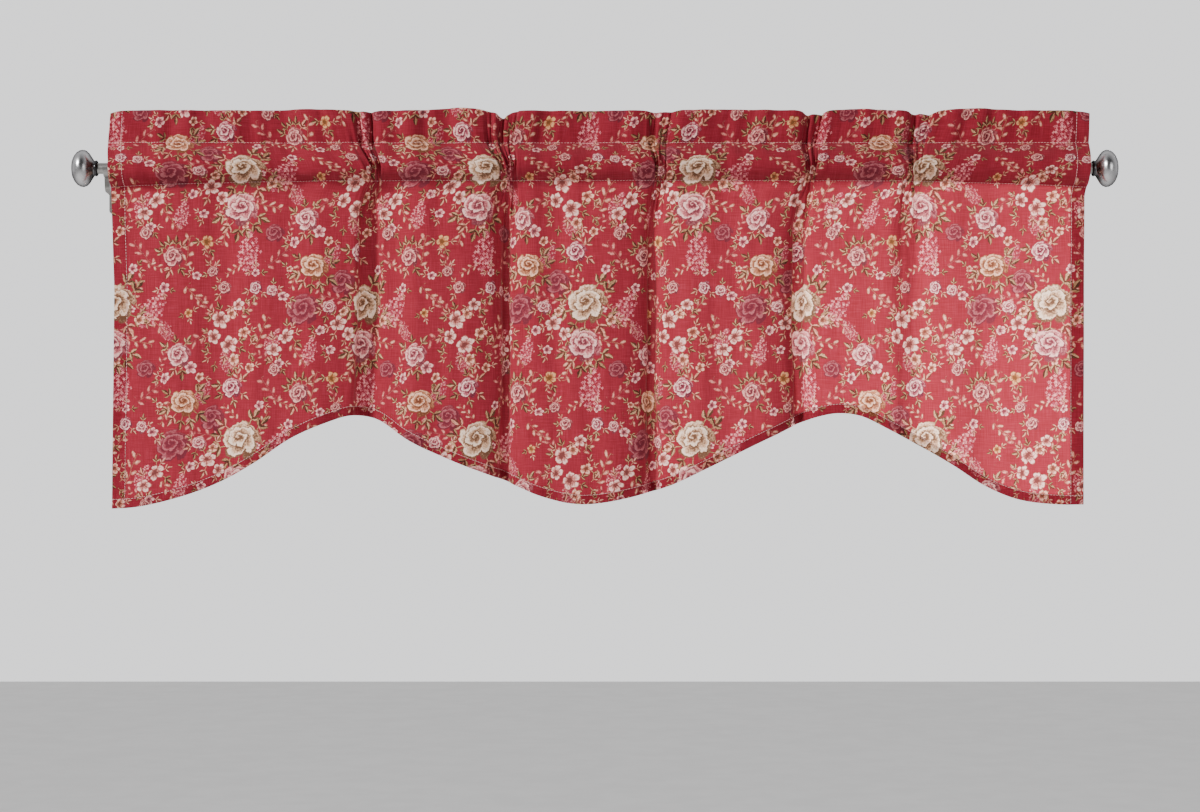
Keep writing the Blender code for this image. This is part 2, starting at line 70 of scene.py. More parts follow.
def table(names, *rows):
    """Rows of values as dicts, by the names of their columns."""
    return [dict(zip(names.split(), row)) for row in rows]


ROD_RADIUS = 0.0065
ROD_OUT = 0.075
ROD_UP = 0.018
BRACKET_SPAN = 1.146
COLLAR_OUT = 0.0108
FINIAL_SIDES = 72
FINIAL_OUTLINE = (  # distance from the collar, radius
    (0.0000, 0.0084), (0.0010, 0.0093), (0.0022, 0.0093), (0.0032, 0.0084), (0.0046, 0.0098),
    (0.0070, 0.0134), (0.0100, 0.0180), (0.0130, 0.0208), (0.0165, 0.0219), (0.0200, 0.0214),
    (0.0235, 0.0194), (0.0265, 0.0160), (0.0288, 0.0113), (0.0300, 0.0060), (0.0304, 0.0000),
)

FLAT_WIDTH = 1.320
HEM_DEPTH = 0.011
SIDE_HEM = 0.017
HEADER_TOP = 0.0680
HEADER_STITCH = 0.0300
POCKET_SEAM = -0.0140
POCKET_SEAM_END_SAG = 0.0083
POCKET_SLACK = 0.0011  # between the rod and the pocket's layers
POCKET_BILLOW = 0.0055  # further out that the front layer stands
BACK_LAYER_FOLLOW = 0.25  # of the gathers' depth
BACK_LAYER_TUCK = 0.012  # how far the back layer is drawn in at the right end
TUCK_REACH = 0.045
END_DEPTH = -0.003  # of the plan line's ends, towards the wall from the rod's axis
DIP_REACH = 0.011
CORNER_DROOP = 0.0035
CORNER_REACH = 0.012
FOLD_RADIUS = 0.0012  # of the heading's top fold
SAG_POWER = 5  # of the way from the middle, so that the pocket's seam sags only near its ends
PLAN_STEPS = 2641  # places along the flat width, 0.5 mm apart, at which its plan line is summed up
OUTLINE_HEIGHT = -0.30  # of the plan line that the lower edge's outline is measured along

# Heights at which a fold's share of its angle is given
FOLD_HEIGHTS = (0.066, 0.030, 0.000, -0.018, -0.080, -0.180, -0.400)

# Tight gathers on the rod: place along the flat width, half-width of the pucker, steepest angle of
# its sides in degrees, dip of the heading's top
GATHERS = table(
    "place half_width pinch dip",
    (0.3227, 0.0060, 74, 0.0010),
    (0.3437, 0.0060, 76, 0.0018),
    (0.5057, 0.0060, 76, 0.0020),
    (0.5267, 0.0062, 80, 0.0088),
    (0.5473, 0.0056, 66, 0.0008),
    (0.7326, 0.0062, 74, 0.0022),
    (0.7536, 0.0058, 62, 0.0018),
    (0.9388, 0.0060, 74, 0.0050),
    (0.9598, 0.0060, 76, 0.0046),
    (1.0897, 0.0060, 72, 0.0044),
    (1.1107, 0.0058, 64, 0.0052),
)
GATHER_SHARES = (0.62, 0.84, 1.00, 0.90, 0.30, 0.08, 0.00)  # of that angle, at FOLD_HEIGHTS
# Where the heading stands a little higher between gathers: place, rise, reach
TOP_RISES = table(
    "place rise reach",
    (0.2500, 0.0014, 0.045),
    (0.4600, 0.0034, 0.038),
    (0.8300, 0.0014, 0.060),
    (1.0150, 0.0018, 0.032),
    (1.1750, 0.0026, 0.036),
)

# Soft folds: a valley where pinch is positive, turn where one side laps in front of the other, and
# their share of those angles at FOLD_HEIGHTS. A lap turns back over a stretch LAP_RETURN times as wide.
LAP_RETURN = 6.0
SOFT_FOLDS = table(
    "place half_width pinch turn shares",
    (0.1350, 0.0240, 13, 0, (0.3, 0.3, 0.3, 0.6, 1.0, 1.0, 0.6)),
    (0.2133, 0.0220, 10, 0, (1.7, 1.5, 1.2, 0.9, 1.0, 0.9, 0.9)),
    (0.3090, 0.0075, 0, 96, (0.0, 0.0, 0.0, 0.45, 1.0, 0.75, 0.3)),
    (0.3245, 0.0360, 22, 0, (0.1, 0.1, 0.1, 0.2, 0.8, 1.0, 1.0)),
    (0.3368, 0.0120, 36, 0, (0.1, 0.0, 0.0, 0.3, 1.0, 1.0, 0.9)),
    (0.3717, 0.0130, 34, 0, (0.5, 0.5, 0.4, 0.5, 1.0, 0.7, 0.3)),
    (0.4376, 0.0200, 12, 0, (1.7, 1.5, 1.1, 0.7, 0.6, 0.8, 1.0)),
    (0.5227, 0.0340, 19, 0, (0.1, 0.1, 0.1, 0.2, 0.8, 1.0, 1.0)),
    (0.5250, 0.0100, 70, 24, (0.1, 0.0, 0.0, 0.4, 1.0, 1.0, 0.9)),
    (0.6025, 0.0150, 24, 0, (0.6, 0.5, 0.4, 0.6, 1.0, 0.7, 0.5)),
    (0.6489, 0.0200, 10, 0, (1.6, 1.3, 1.0, 0.7, 0.7, 0.9, 1.0)),
    (0.7335, 0.0340, 20, 0, (0.1, 0.1, 0.1, 0.2, 0.8, 1.0, 1.0)),
    (0.7351, 0.0100, 68, 24, (0.1, 0.0, 0.0, 0.4, 1.0, 1.0, 0.8)),
    (0.8430, 0.0240, 10, 0, (0.9, 0.6, 0.4, 0.5, 0.7, 1.0, 1.0)),
    (0.9478, 0.0360, 22, 0, (0.1, 0.1, 0.1, 0.2, 0.8, 1.0, 1.0)),
    (0.9461, 0.0100, 70, 26, (0.1, 0.0, 0.0, 0.4, 1.0, 1.0, 0.7)),
    (1.0222, 0.0240, 10, 0, (0.1, 0.1, 0.1, 0.4, 0.7, 0.9, 0.9)),
    (1.1113, 0.0150, 32, 0, (0.1, 0.0, 0.0, 0.4, 1.0, 0.8, 0.6)),
    (1.2058, 0.0250, 12, 0, (0.4, 0.4, 0.4, 0.6, 0.8, 1.0, 0.8)),
)

# The two side edges: world X at these heights
SIDE_EDGES = table(
    "height left right",
    (0.0665, 0.0052, 1.1530),
    (0.0300, 0.0022, 1.1520),
    (0.0080, 0.0056, 1.1512),
    (-0.0200, 0.0056, 1.1500),
    (-0.0320, 0.0060, 1.1472),
    (-0.1420, 0.0095, 1.1465),
    (-0.4000, 0.0067, 1.1460),
)

# The lower edge: distance from the left edge as it hangs, drop below the rod's axis
LOWER_EDGE = table(
    "across drop",
    (0.000, 0.3990), (0.020, 0.3980), (0.065, 0.3892), (0.119, 0.3705), (0.169, 0.3430),
    (0.202, 0.3200), (0.245, 0.3000), (0.281, 0.2897), (0.312, 0.2960), (0.342, 0.3160),
    (0.394, 0.3410), (0.461, 0.3670), (0.499, 0.3832), (0.547, 0.3940), (0.596, 0.3890),
    (0.652, 0.3728), (0.697, 0.3518), (0.772, 0.3154), (0.829, 0.2910), (0.848, 0.2873),
    (0.875, 0.2897), (0.912, 0.3070), (0.982, 0.3458), (1.027, 0.3740), (1.054, 0.3857),
    (1.108, 0.3940), (1.148, 0.3940),
)

# The pocket from the header's stitches down to its seam: share of the height, and how far the layer
# has gone from the line between its stitches to its wall
POCKET_FRONT = table(
    "way wall",
    (0.00, 0.00), (0.18, 0.50), (0.38, 0.88), (0.50, 1.00), (0.62, 0.97), (0.75, 0.85), (0.88, 0.56),
    (1.00, 0.00),
)
POCKET_BACK = table(
    "way wall",
    (0.00, 0.00), (0.42, 0.85), (0.62, 1.00), (0.82, 0.90), (1.00, 0.00),
)

# Fine creases that run down the cloth: wavelength, steepest angle in degrees, how fast they lean with
# height (turns per metre), start. Each wanders to and fro by CREASE_WANDER of its wavelength.
CREASES = table(
    "wave angle lean start",
    (0.0410, 4.2, 2.3, 0.10),
    (0.0270, 3.4, -3.1, 0.45),
    (0.0163, 2.6, 5.2, 0.80),
)
CREASE_WANDER = 0.35
WANDER_ALONG = 7.0 / 11.0  # radians for each wavelength along the cloth
WANDER_UP = 9.0  # radians for each metre of height
CREASE_SHARES = (3.0, 2.4, 1.5, 1.3, 1.1, 1.0, 1.0)  # of that angle, at FOLD_HEIGHTS
# Crumpled cloth in and beside each gather: wavelength, steepest angle in degrees, lean, reach
CRUMPLES = table(
    "wave angle lean reach",
    (0.0098, 48, 5.0, 0.019),
    (0.0050, 46, -9.0, 0.013),
)
CRUMPLE_SHARES = (0.35, 0.75, 1.05, 1.10, 0.12, 0.03, 0.00)  # of that angle, at FOLD_HEIGHTS
# Puckers along a row of stitches: wavelength, depth at the row, reach from the row, and how they
# wander, in turns and in radians for each metre
PUCKER_WAVE = 0.0105
PUCKER_DEPTH = 0.00045
PUCKER_REACH = 0.0075
PUCKER_WANDER = ((0.9, 61.0), (0.5, 173.0))
SEAM_PUCKER_SHIFT = 0.31  # so that the rows of stitches don't pucker at the same places
HEM_PUCKER_SHIFT = 0.73
HEM_PUCKER = 0.6  # a lower hem's puckers, as a share of the seam's
SEAM_LAYER = 0.0004  # half the distance between two layers that are sewn together
HEM_LAYER = 0.0009  # from the face of the cloth to the lower hem turned behind it
SIDE_GAP = 0.0007  # from the face of the panel to the side hem behind it
HEM_GAP = 0.00025  # the same where the cloth is doubled
HEM_FOLD_OUT = 0.0004  # how far a side hem's fold stands out past the edge
HEM_FOLD_FLAT = 0.0002  # the same on the flat cloth
# Places of a side hem's columns, from the edge
HEM_PLACES = (0.0, 0.0008, 0.0025, 0.0050, 0.0078, 0.0106, 0.0134, 0.0158, 0.0170)
HEM_STITCH_SHARE = 0.93  # of the hem's depth
# Rows of the lower hem behind and in front, as shares of its depth, and round its fold
HEM_BACK_ROWS = (1.0, HEM_STITCH_SHARE, 0.7, 0.45, 0.2, 0.06)
HEM_FOLD_ROWS = (0.25, 0.5, 0.75)
HEM_FRONT_ROWS = (0.06, 0.25, 0.45, 0.7, HEM_STITCH_SHARE, 1.1, 1.35)
SIDE_STITCH_IN = 0.0015  # from the side hem's inner edge
STITCH_LENGTH = 0.0031
STITCH_PITCH = 0.0036
STITCH_SIDES = 4
STITCH_SECTIONS = (-0.5, -0.36, 0.0, 0.36, 0.5)  # places along a stitch, as shares of its length
STITCH_RADII = (0.00016, 0.00026, 0.00030, 0.00026, 0.00016)
STITCH_RISES = (-0.00020, 0.00010, 0.00022, 0.00010, -0.00020)  # above the cloth
POCKET_EXTRA = 0.020  # length that the pocket's front takes up over its height
EXTRA_POWER = 1.6  # most of it in the upper part

COLUMNS = 560  # of the face
TIGHT_FOLD = 55  # angle from which a fold's columns are closest
TIGHT_DENSITY = 3.6  # columns added in a tight fold or a lap, as a share of those elsewhere
SOFT_DENSITY = 0.5
DENSE_REACH = 1.8  # half-widths of the fold
PANEL_ROWS = 96
POCKET_ROWS = 20
POCKET_BACK_ROWS = 14
HEADING_ROWS = 14
HEADING_BACK_ROWS = 11
TOP_FOLD_TURNS = (36, 72, 108, 144)  # degrees round the heading's top fold
HEADING_SPREAD = 3.0  # its layers are FOLD_RADIUS from their middle from 1 / HEADING_SPREAD of the height
MERGE_DISTANCE = 0.000005
BAKE_MARGIN = 0.005


def column(rows, name):
    """One named column of a table as an array."""
    return np.array([row[name] for row in rows])


def smooth_line(x, knots_x, knots_y):
    """A curve through the knots: cubic pieces whose slope at a knot is that of its two neighbours."""
    slopes = np.gradient(knots_y, knots_x)
    i = np.clip(np.searchsorted(knots_x, x) - 1, 0, len(knots_x) - 2)
    step = knots_x[i + 1] - knots_x[i]
    t = np.clip((x - knots_x[i]) / step, 0.0, 1.0)
    rise = knots_y[i + 1] - knots_y[i]
    start = slopes[i] * step
    end = slopes[i + 1] * step
    bend = 3.0 * rise - 2.0 * start - end
    twist = start + end - 2.0 * rise
    return knots_y[i] + t * (start + t * (bend + t * twist))


def fold_pinch(t):
    """Angle of a fold's two sides as a share of its steepest: -t exp(1/2 - t^2 / 2)."""
    return -t * np.exp(0.5 - 0.5 * t**2)


def heading_angle(along, height):
    """Angle from +X of the cloth's line seen from above: the sum over all folds of
    pinch * -t exp(1/2 - t^2 / 2) and turn * (exp(-t^2) - exp(-(t / n)^2) / n), where t is the distance
    from the fold in half-widths and n is LAP_RETURN. Added are the fine creases, which are sines of the
    place that lean with the height, and each gather's crumples, which are such sines times
    exp(-(distance / reach)^2). Each of the four is times its share at that height."""
    angle = np.zeros_like(along)
    below = [-h for h in FOLD_HEIGHTS]
    gather_share = np.interp(-height, below, GATHER_SHARES)
    crumple_share = np.interp(-height, below, CRUMPLE_SHARES)
    crease_share = np.interp(-height, below, CREASE_SHARES)
    for fold in GATHERS:
        distance = along - fold["place"]
        angle += math.radians(fold["pinch"]) * fold_pinch(distance / fold["half_width"]) * gather_share
        for crumple in CRUMPLES:
            phase = distance / crumple["wave"] + crumple["lean"] * height
            share = np.exp(-((distance / crumple["reach"]) ** 2)) * crumple_share
            angle += math.radians(crumple["angle"]) * np.sin(2.0 * math.pi * phase) * share
    for fold in SOFT_FOLDS:
        t = (along - fold["place"]) / fold["half_width"]
        turn = np.exp(-(t**2)) - np.exp(-((t / LAP_RETURN) ** 2)) / LAP_RETURN
        bend = math.radians(fold["pinch"]) * fold_pinch(t) + math.radians(fold["turn"]) * turn
        angle += bend * np.interp(-height, below, fold["shares"])
    for crease in CREASES:
        phase = along / crease["wave"] + crease["lean"] * height + crease["start"]
        phase += CREASE_WANDER * np.sin(WANDER_ALONG * along / crease["wave"] + WANDER_UP * height)
        angle += math.radians(crease["angle"]) * np.sin(2.0 * math.pi * phase) * crease_share
    return angle


def plan_line(along, height):
    """The cloth's line seen from above at these heights: world X, depth towards the wall, angle.

    X and depth are the running sums of the cosine and sine of the heading angle, so the line keeps
    its length. X is then set between the side edges, and the depth of both ends at END_DEPTH."""
    fine = np.linspace(0.0, FLAT_WIDTH, PLAN_STEPS)
    fine_height = np.interp(fine, along, height)
    angle = heading_angle(fine, fine_height)
    steps = np.full_like(fine, fine[1] - fine[0])
    steps[0] = 0.0
    x = np.cumsum(np.cos(angle) * steps)
    depth = np.cumsum(np.sin(angle) * steps)
    depth += END_DEPTH - np.interp(fine, [0.0, FLAT_WIDTH], [depth[0], depth[-1]])
    edge_heights = -column(SIDE_EDGES, "height")
    left = np.interp(-fine_height, edge_heights, column(SIDE_EDGES, "left"))
    right = np.interp(-fine_height, edge_heights, column(SIDE_EDGES, "right"))
    x = left + (right - left) * x / x[-1]
    return [np.interp(along, fine, line) for line in (x, depth, angle)]


def seam_height(along):
    """Height of the pocket's lower seam: it sags with a power of the way from the middle to the ends."""
    from_middle = np.abs(2.0 * along / FLAT_WIDTH - 1.0)
    return POCKET_SEAM - POCKET_SEAM_END_SAG * from_middle**SAG_POWER


def header_top(along):
    """Height of the heading's top edge: bell-shaped rises, less a bell-shaped dip at each gather and a
    droop at the corners that fades by the exponential of the distance."""
    top = np.full_like(along, HEADER_TOP)
    for fold in GATHERS:
        top -= fold["dip"] * np.exp(-(((along - fold["place"]) / DIP_REACH) ** 2))
    for row in TOP_RISES:
        top += row["rise"] * np.exp(-(((along - row["place"]) / row["reach"]) ** 2))
    corners = np.exp(-along / CORNER_REACH) + np.exp((along - FLAT_WIDTH) / CORNER_REACH)
    return top - CORNER_DROOP * corners


def lower_edge(along):
    """Height of the lower edge, from its outline as it hangs."""
    x = plan_line(along, np.full_like(along, OUTLINE_HEIGHT))[0]
    return -smooth_line(x - x[0], column(LOWER_EDGE, "across"), column(LOWER_EDGE, "drop"))


def pucker(along, distance):
    """How far a row of stitches draws the cloth in and out: a sine along the row, whose wavelength
    wanders, that fades with the exponential of the distance from the row."""
    phase = along / PUCKER_WAVE
    for turns, rate in PUCKER_WANDER:
        phase = phase + turns * np.sin(along * rate)
    return PUCKER_DEPTH * np.sin(2.0 * math.pi * phase) * np.exp(-np.abs(distance) / PUCKER_REACH)


def seam_puckers(along, height):
    """Puckers beside the header's stitches and the pocket's seam."""
    at_header = pucker(along, height - HEADER_STITCH)
    return at_header + pucker(along + SEAM_PUCKER_SHIFT, height - seam_height(along))


def cloth_row(along, height, layer, hem_distance=None):
    """World points of one row: the plan line moved by layer across itself, with the seams' puckers and,
    at hem_distance from its stitches, the lower hem's."""
    x, depth, angle = plan_line(along, height)
    depth = depth + seam_puckers(along, height)
    if hem_distance is not None:
        depth = depth + HEM_PUCKER * pucker(along + HEM_PUCKER_SHIFT, hem_distance)
    x = x - layer * np.sin(angle)
    depth = depth + layer * np.cos(angle)
    return np.stack([x, depth - ROD_OUT, height + ROD_UP], axis=1)


def pocket_row(along, way, profile, side):
    """World points of one row of the pocket, side -1 for its front layer and +1 for its back.

    The row lies between the line from the stitches to the seam and a wall that keeps clear of the rod:
    the front wall also follows the gathers, the back one only a little."""
    knots = column(profile, "way"), column(profile, "wall")
    wall_share = float(smooth_line(np.array([way]), *knots)[0])
    height = HEADER_STITCH + (seam_height(along) - HEADER_STITCH) * way
    x, depth, angle = plan_line(along, height)
    layer = side * SEAM_LAYER
    clear = ROD_RADIUS + POCKET_SLACK
    rod_depth = plan_line(along, np.zeros_like(along))[1]
    if side < 0:
        wall = -clear - POCKET_BILLOW - (rod_depth.max() - np.minimum(depth, rod_depth.max()))
    else:
        wall = clear + BACK_LAYER_FOLLOW * (rod_depth - rod_depth.min())
    flat_depth = depth + layer * np.cos(angle)
    wall_depth = wall * wall_share + flat_depth * (1.0 - wall_share) + seam_puckers(along, height)
    x = x - layer * np.sin(angle) * (1.0 - wall_share)
    if side > 0:
        into_right_end = np.clip((along - (FLAT_WIDTH - TUCK_REACH)) / TUCK_REACH, 0.0, 1.0)
        x = x - BACK_LAYER_TUCK * into_right_end**2 * min(1.0, way / POCKET_BACK[1]["way"])
    return np.stack([x, wall_depth - ROD_OUT, height + ROD_UP], axis=1)


def heading_row(along, top, share, side):
    """World points of one row of the heading and its height, side -1 for its front layer and +1 for its
    back: the layers part above the stitches until they are as far apart as the top fold is wide."""
    spread = SEAM_LAYER + (FOLD_RADIUS - SEAM_LAYER) * min(1.0, HEADING_SPREAD * share)
    height = HEADER_STITCH + (top - FOLD_RADIUS - HEADER_STITCH) * share
    return cloth_row(along, height, side * spread), height


def cloth_rows(along):
    """All rows of the cloth: down behind the lower hem and round its fold, up the panel, the pocket's
    front and the heading, over the top and down behind.

    With each row come its print height, which is how far up the flat cloth it lies, so that a fold
    doesn't break the print, and the distance from the face to a side hem behind it. The numbers of the
    rows that lines of stitches follow or end at come last, by name."""
    edge = lower_edge(along)
    seam = seam_height(along)
    top = header_top(along)
    points = []
    print_height = []
    hem_gap = []
    marks = {}

    def add_row(row, height, gap=HEM_GAP):
        points.append(row)
        print_height.append(height + 0.0 * along)
        hem_gap.append(gap)

    def add_hem_row(share, layer, flat_side):
        row = cloth_row(along, edge + HEM_DEPTH * share, layer, HEM_DEPTH * (share - HEM_STITCH_SHARE))
        add_row(row, edge + flat_side * HEM_DEPTH * share)

    for share in HEM_BACK_ROWS:
        add_hem_row(share, HEM_LAYER, -1)
    marks["hem_back"] = HEM_BACK_ROWS.index(HEM_STITCH_SHARE)
    for turn in HEM_FOLD_ROWS:
        drop = 0.5 * HEM_LAYER * math.sin(math.pi * turn)
        add_row(cloth_row(along, edge - drop, HEM_LAYER * (1.0 - turn)), edge)
    marks["edge"] = len(points)
    marks["hem"] = len(points) + HEM_FRONT_ROWS.index(HEM_STITCH_SHARE)
    for share in HEM_FRONT_ROWS:
        add_hem_row(share, 0.0, 1)
    start = edge + HEM_FRONT_ROWS[-1] * HEM_DEPTH
    for share in np.linspace(0.0, 1.0, PANEL_ROWS)[1:-1]:
        height = start + (seam - start) * share
        add_row(cloth_row(along, height, 0.0), height, SIDE_GAP)
    marks["seam"] = len(points)
    for way in np.linspace(1.0, 0.0, POCKET_ROWS):
        taken_up = POCKET_EXTRA * (1.0 - way) ** EXTRA_POWER
        height = seam + (HEADER_STITCH - seam) * (1.0 - way) + taken_up
        add_row(pocket_row(along, way, POCKET_FRONT, -1), height)
    marks["header"] = len(points) - 1
    for share in np.linspace(0.0, 1.0, HEADING_ROWS)[1:]:
        row, height = heading_row(along, top, share, -1)
        add_row(row, height + POCKET_EXTRA)
    for degrees in TOP_FOLD_TURNS:
        turn = math.radians(degrees)
        height = top - FOLD_RADIUS + FOLD_RADIUS * math.sin(turn)
        row = cloth_row(along, height, -FOLD_RADIUS * math.cos(turn))
        add_row(row, top + POCKET_EXTRA + FOLD_RADIUS * (turn - 1.0))
    over = 2.0 * top + POCKET_EXTRA
    for share in np.linspace(1.0, 0.0, HEADING_BACK_ROWS):
        row, height = heading_row(along, top, share, 1)
        add_row(row, over - height)
    marks["header_back"] = len(points) - 1
    for way in np.linspace(0.0, 1.0, POCKET_BACK_ROWS)[1:]:
        height = over - HEADER_STITCH + (HEADER_STITCH - seam) * way
        add_row(pocket_row(along, way, POCKET_BACK, 1), height)
    marks["seam_back"] = len(points) - 1
    return np.array(points), np.array(print_height), np.array(hem_gap), marks


def grid_normals(points):
    """Unit normals of a grid of points: the cross product of its slopes along a row and up a column."""
    slope_along = np.gradient(points, axis=1)
    slope_up = np.gradient(points, axis=0)
    normals = np.cross(slope_along, slope_up)
    return normals / np.linalg.norm(normals, axis=2, keepdims=True)


def with_side_hems(points, print_across, print_height, hem_gap):
    """The grid with a turned hem at each side: the columns within the hem, mirrored about the side
    edge and moved behind the face by hem_gap, and one column round the fold, which stands
    HEM_FOLD_OUT past the middle of the two layers' edges."""
    behind = points - grid_normals(points) * hem_gap[:, None, None]
    folds = []
    for edge, inner in ((0, 1), (-1, -2)):
        outward = points[:, edge] - points[:, inner]
        outward /= np.linalg.norm(outward, axis=1, keepdims=True)
        fold = 0.5 * (points[:, edge] + behind[:, edge]) + HEM_FOLD_OUT * outward
        folds.append(fold[:, None])
    left = slice(len(HEM_PLACES) - 1, None, -1)
    right = slice(None, -len(HEM_PLACES) - 1, -1)
    grid = np.concatenate([behind[:, left], folds[0], points, folds[1], behind[:, right]], axis=1)
    ends = ([-HEM_FOLD_FLAT], print_across, [FLAT_WIDTH + HEM_FOLD_FLAT])
    across = np.concatenate([-print_across[left], *ends, 2.0 * FLAT_WIDTH - print_across[right]])
    ends = (print_height[:, :1], print_height, print_height[:, -1:])
    height = np.concatenate([print_height[:, left], *ends, print_height[:, right]], axis=1)
    return grid, across, height


def column_places():
    """Places of the mesh's columns along the flat width, with fixed ones in the two side hems. The rest
    are spread evenly over the running sum of a density of 1 plus, at each fold, its extra density times
    exp(-t^4), which sets them 0.7 mm apart in the gathers and the laps and up to 5.7 mm elsewhere."""
    fine = np.linspace(HEM_PLACES[-1], FLAT_WIDTH - HEM_PLACES[-1], 2 * PLAN_STEPS - 1)
    density = np.ones_like(fine)
    for fold in (*GATHERS, *SOFT_FOLDS):
        tight = fold["pinch"] > TIGHT_FOLD or fold["pinch"] == 0
        t = (fine - fold["place"]) / (DENSE_REACH * fold["half_width"])
        density += (TIGHT_DENSITY if tight else SOFT_DENSITY) * np.exp(-(t**4))
    count = np.cumsum(density)
    inner = np.interp(np.linspace(count[0], count[-1], COLUMNS - 2 * len(HEM_PLACES)), count, fine)
    hem = np.array(HEM_PLACES)
    return np.concatenate([hem[:-1], inner, (FLAT_WIDTH - hem[:-1])[::-1]])


def surface_mesh(name, points):
    """A smooth mesh of quads on a grid of points with rows and columns."""
    rows, columns = points.shape[:2]
    number = np.arange(rows * columns).reshape(rows, columns)
    quads = np.stack([number[:-1, :-1], number[:-1, 1:], number[1:, 1:], number[1:, :-1]], axis=-1)
    mesh = bpy.data.meshes.new(name)
    mesh.from_pydata(points.reshape(-1, 3).tolist(), [], quads.reshape(-1, 4).tolist())
    mesh.shade_smooth()
    return mesh


def turned_mesh(name, outline, sides, centre, direction):
    """A surface of revolution about X: each (out, radius) of the outline is a circle of sides points, at
    out times direction from centre. The outline starts and ends on the axis, so the form is closed."""
    out, radius = np.array(outline).T
    turn = np.linspace(0.0, 2.0 * math.pi, sides + 1) * direction
    x = np.repeat(out[:, None], sides + 1, axis=1) * direction
    y = radius[:, None] * np.cos(turn)
    z = radius[:, None] * np.sin(turn)
    points = np.stack([x, y, z], axis=2) + np.array(centre)
    mesh = surface_mesh(name, points)
    form = bmesh.new()
    form.from_mesh(mesh)
    bmesh.ops.remove_doubles(form, verts=form.verts, dist=MERGE_DISTANCE)
    form.to_mesh(mesh)
    form.free()
    mesh.shade_smooth()
    return mesh


def add_piece(name, mesh, material):
    """An object for this mesh with this material, riding on the one body."""
    piece = bpy.data.objects.new(name, mesh)
    bpy.context.scene.collection.objects.link(piece)
    mesh.materials.append(material)
    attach(piece, "root")
    return piece


def stitch_points(lines):
    """Stitches along lines of (points, normals): each a thread whose radius swells from its two ends,
    which dip into the cloth, to its middle. A line is cut into equal stitches by its length, and each
    stitch's sections are circles set on the line's tangent, normal and their cross product."""
    section = np.array(STITCH_SECTIONS)
    radius = np.array(STITCH_RADII)
    rise = np.array(STITCH_RISES)
    turn = np.linspace(0.0, 2.0 * math.pi, STITCH_SIDES + 1)[:-1]
    every = []
    for points, normals in lines:
        length = np.concatenate([[0.0], np.cumsum(np.linalg.norm(np.diff(points, axis=0), axis=1))])
        count = int(length[-1] / STITCH_PITCH)
        centre = (np.arange(count) + 0.5) * length[-1] / count
        at = centre[:, None] + section * STITCH_LENGTH
        line = np.stack([np.interp(at, length, points[:, k]) for k in range(3)], axis=2)
        normal = np.stack([np.interp(centre, length, normals[:, k]) for k in range(3)], axis=1)
        tangent = line[:, -1] - line[:, 0]
        tangent /= np.linalg.norm(tangent, axis=1, keepdims=True)
        across = np.cross(normal, tangent)
        ring = np.cos(turn)[:, None] * normal[:, None, None] + np.sin(turn)[:, None] * across[:, None, None]
        lifted = line + rise[:, None] * normal[:, None]
        every.append(lifted[:, :, None] + radius[:, None, None] * ring)
    return np.concatenate(every)


def stitches_mesh(name, points):
    """One mesh of all the stitches: quads between the sections of each, and a face at each end."""
    count, sections, sides = points.shape[:3]
    number = np.arange(count * sections * sides).reshape(count, sections, sides)
    after = np.roll(number, -1, axis=2)
    quads = np.stack([number[:, :-1], after[:, :-1], after[:, 1:], number[:, 1:]], axis=-1)
    faces = quads.reshape(-1, 4).tolist() + number[:, 0, ::-1].tolist() + number[:, -1].tolist()
    mesh = bpy.data.meshes.new(name)
    mesh.from_pydata(points.reshape(-1, 3).tolist(), [], faces)
    mesh.shade_smooth()
    return mesh


# ---------------------------------------------------------------- materials


def linear(hex_colour):
    """An sRGB hex colour as linear red, green, blue and alpha."""
    values = np.array([int(hex_colour[k : k + 2], 16) for k in (1, 3, 5)]) / 255.0
    linear_values = np.where(values <= 0.04045, values / 12.92, ((values + 0.055) / 1.055) ** 2.4)
    return (*linear_values.tolist(), 1.0)


def new_tree(name):
    """A material with an empty tree of nodes, and that tree."""
    material = bpy.data.materials.new(name)
    material.use_nodes = True
    material.node_tree.nodes.clear()
    return material, material.node_tree


def add(tree, kind, inputs=(), out=0, **settings):
    """Adds one shader node. kind is its name, and its operation after a blank; inputs is a row of sockets
    to link and values to set, or a dict by socket name; settings are its properties. Returns its output
    socket, or the node itself where it has none."""
    name, _, operation = kind.partition(" ")
    node = tree.nodes.new("ShaderNode" + name)
    if operation:
        node.operation = operation
    for setting, value in settings.items():
        setattr(node, setting, value)
    pairs = inputs.items() if isinstance(inputs, dict) else enumerate(inputs)
    for key, value in pairs:
        if isinstance(value, bpy.types.NodeSocket):
            tree.links.new(value, node.inputs[key])
        else:
            node.inputs[key].default_value = value
    return node.outputs[out] if len(node.outputs) else node


def set_ramp(socket, stops, interpolation="LINEAR"):
    """Sets the stops (place, hex colour) of the colour ramp that this output belongs to."""
    ramp = socket.node.color_ramp
    ramp.interpolation = interpolation
    while len(ramp.elements) < len(stops):
        ramp.elements.new(0.5)
    for element, (place, colour) in zip(ramp.elements, stops):
        element.position = place
        element.color = linear(colour)
    return socket


# ---------------------------------------------------------------- print

# The print repeats every REPEAT across and up, with a half drop: every second column of it sits half
# a repeat higher. Motifs are set out on one column of it, in millimetres from its cream rose.
REPEAT = 320.0
FIRST_ROSE = (162.0, 0.0)  # on the flat cloth: from its left edge, and up from the rod's axis
CLAIM = 2.4  # beyond a motif's own outline, so that no mesh face is shared by two motifs
BETWEEN = 4.5  # least distance between two motifs of one layer
NOWHERE = -9.0  # a place outside every motif

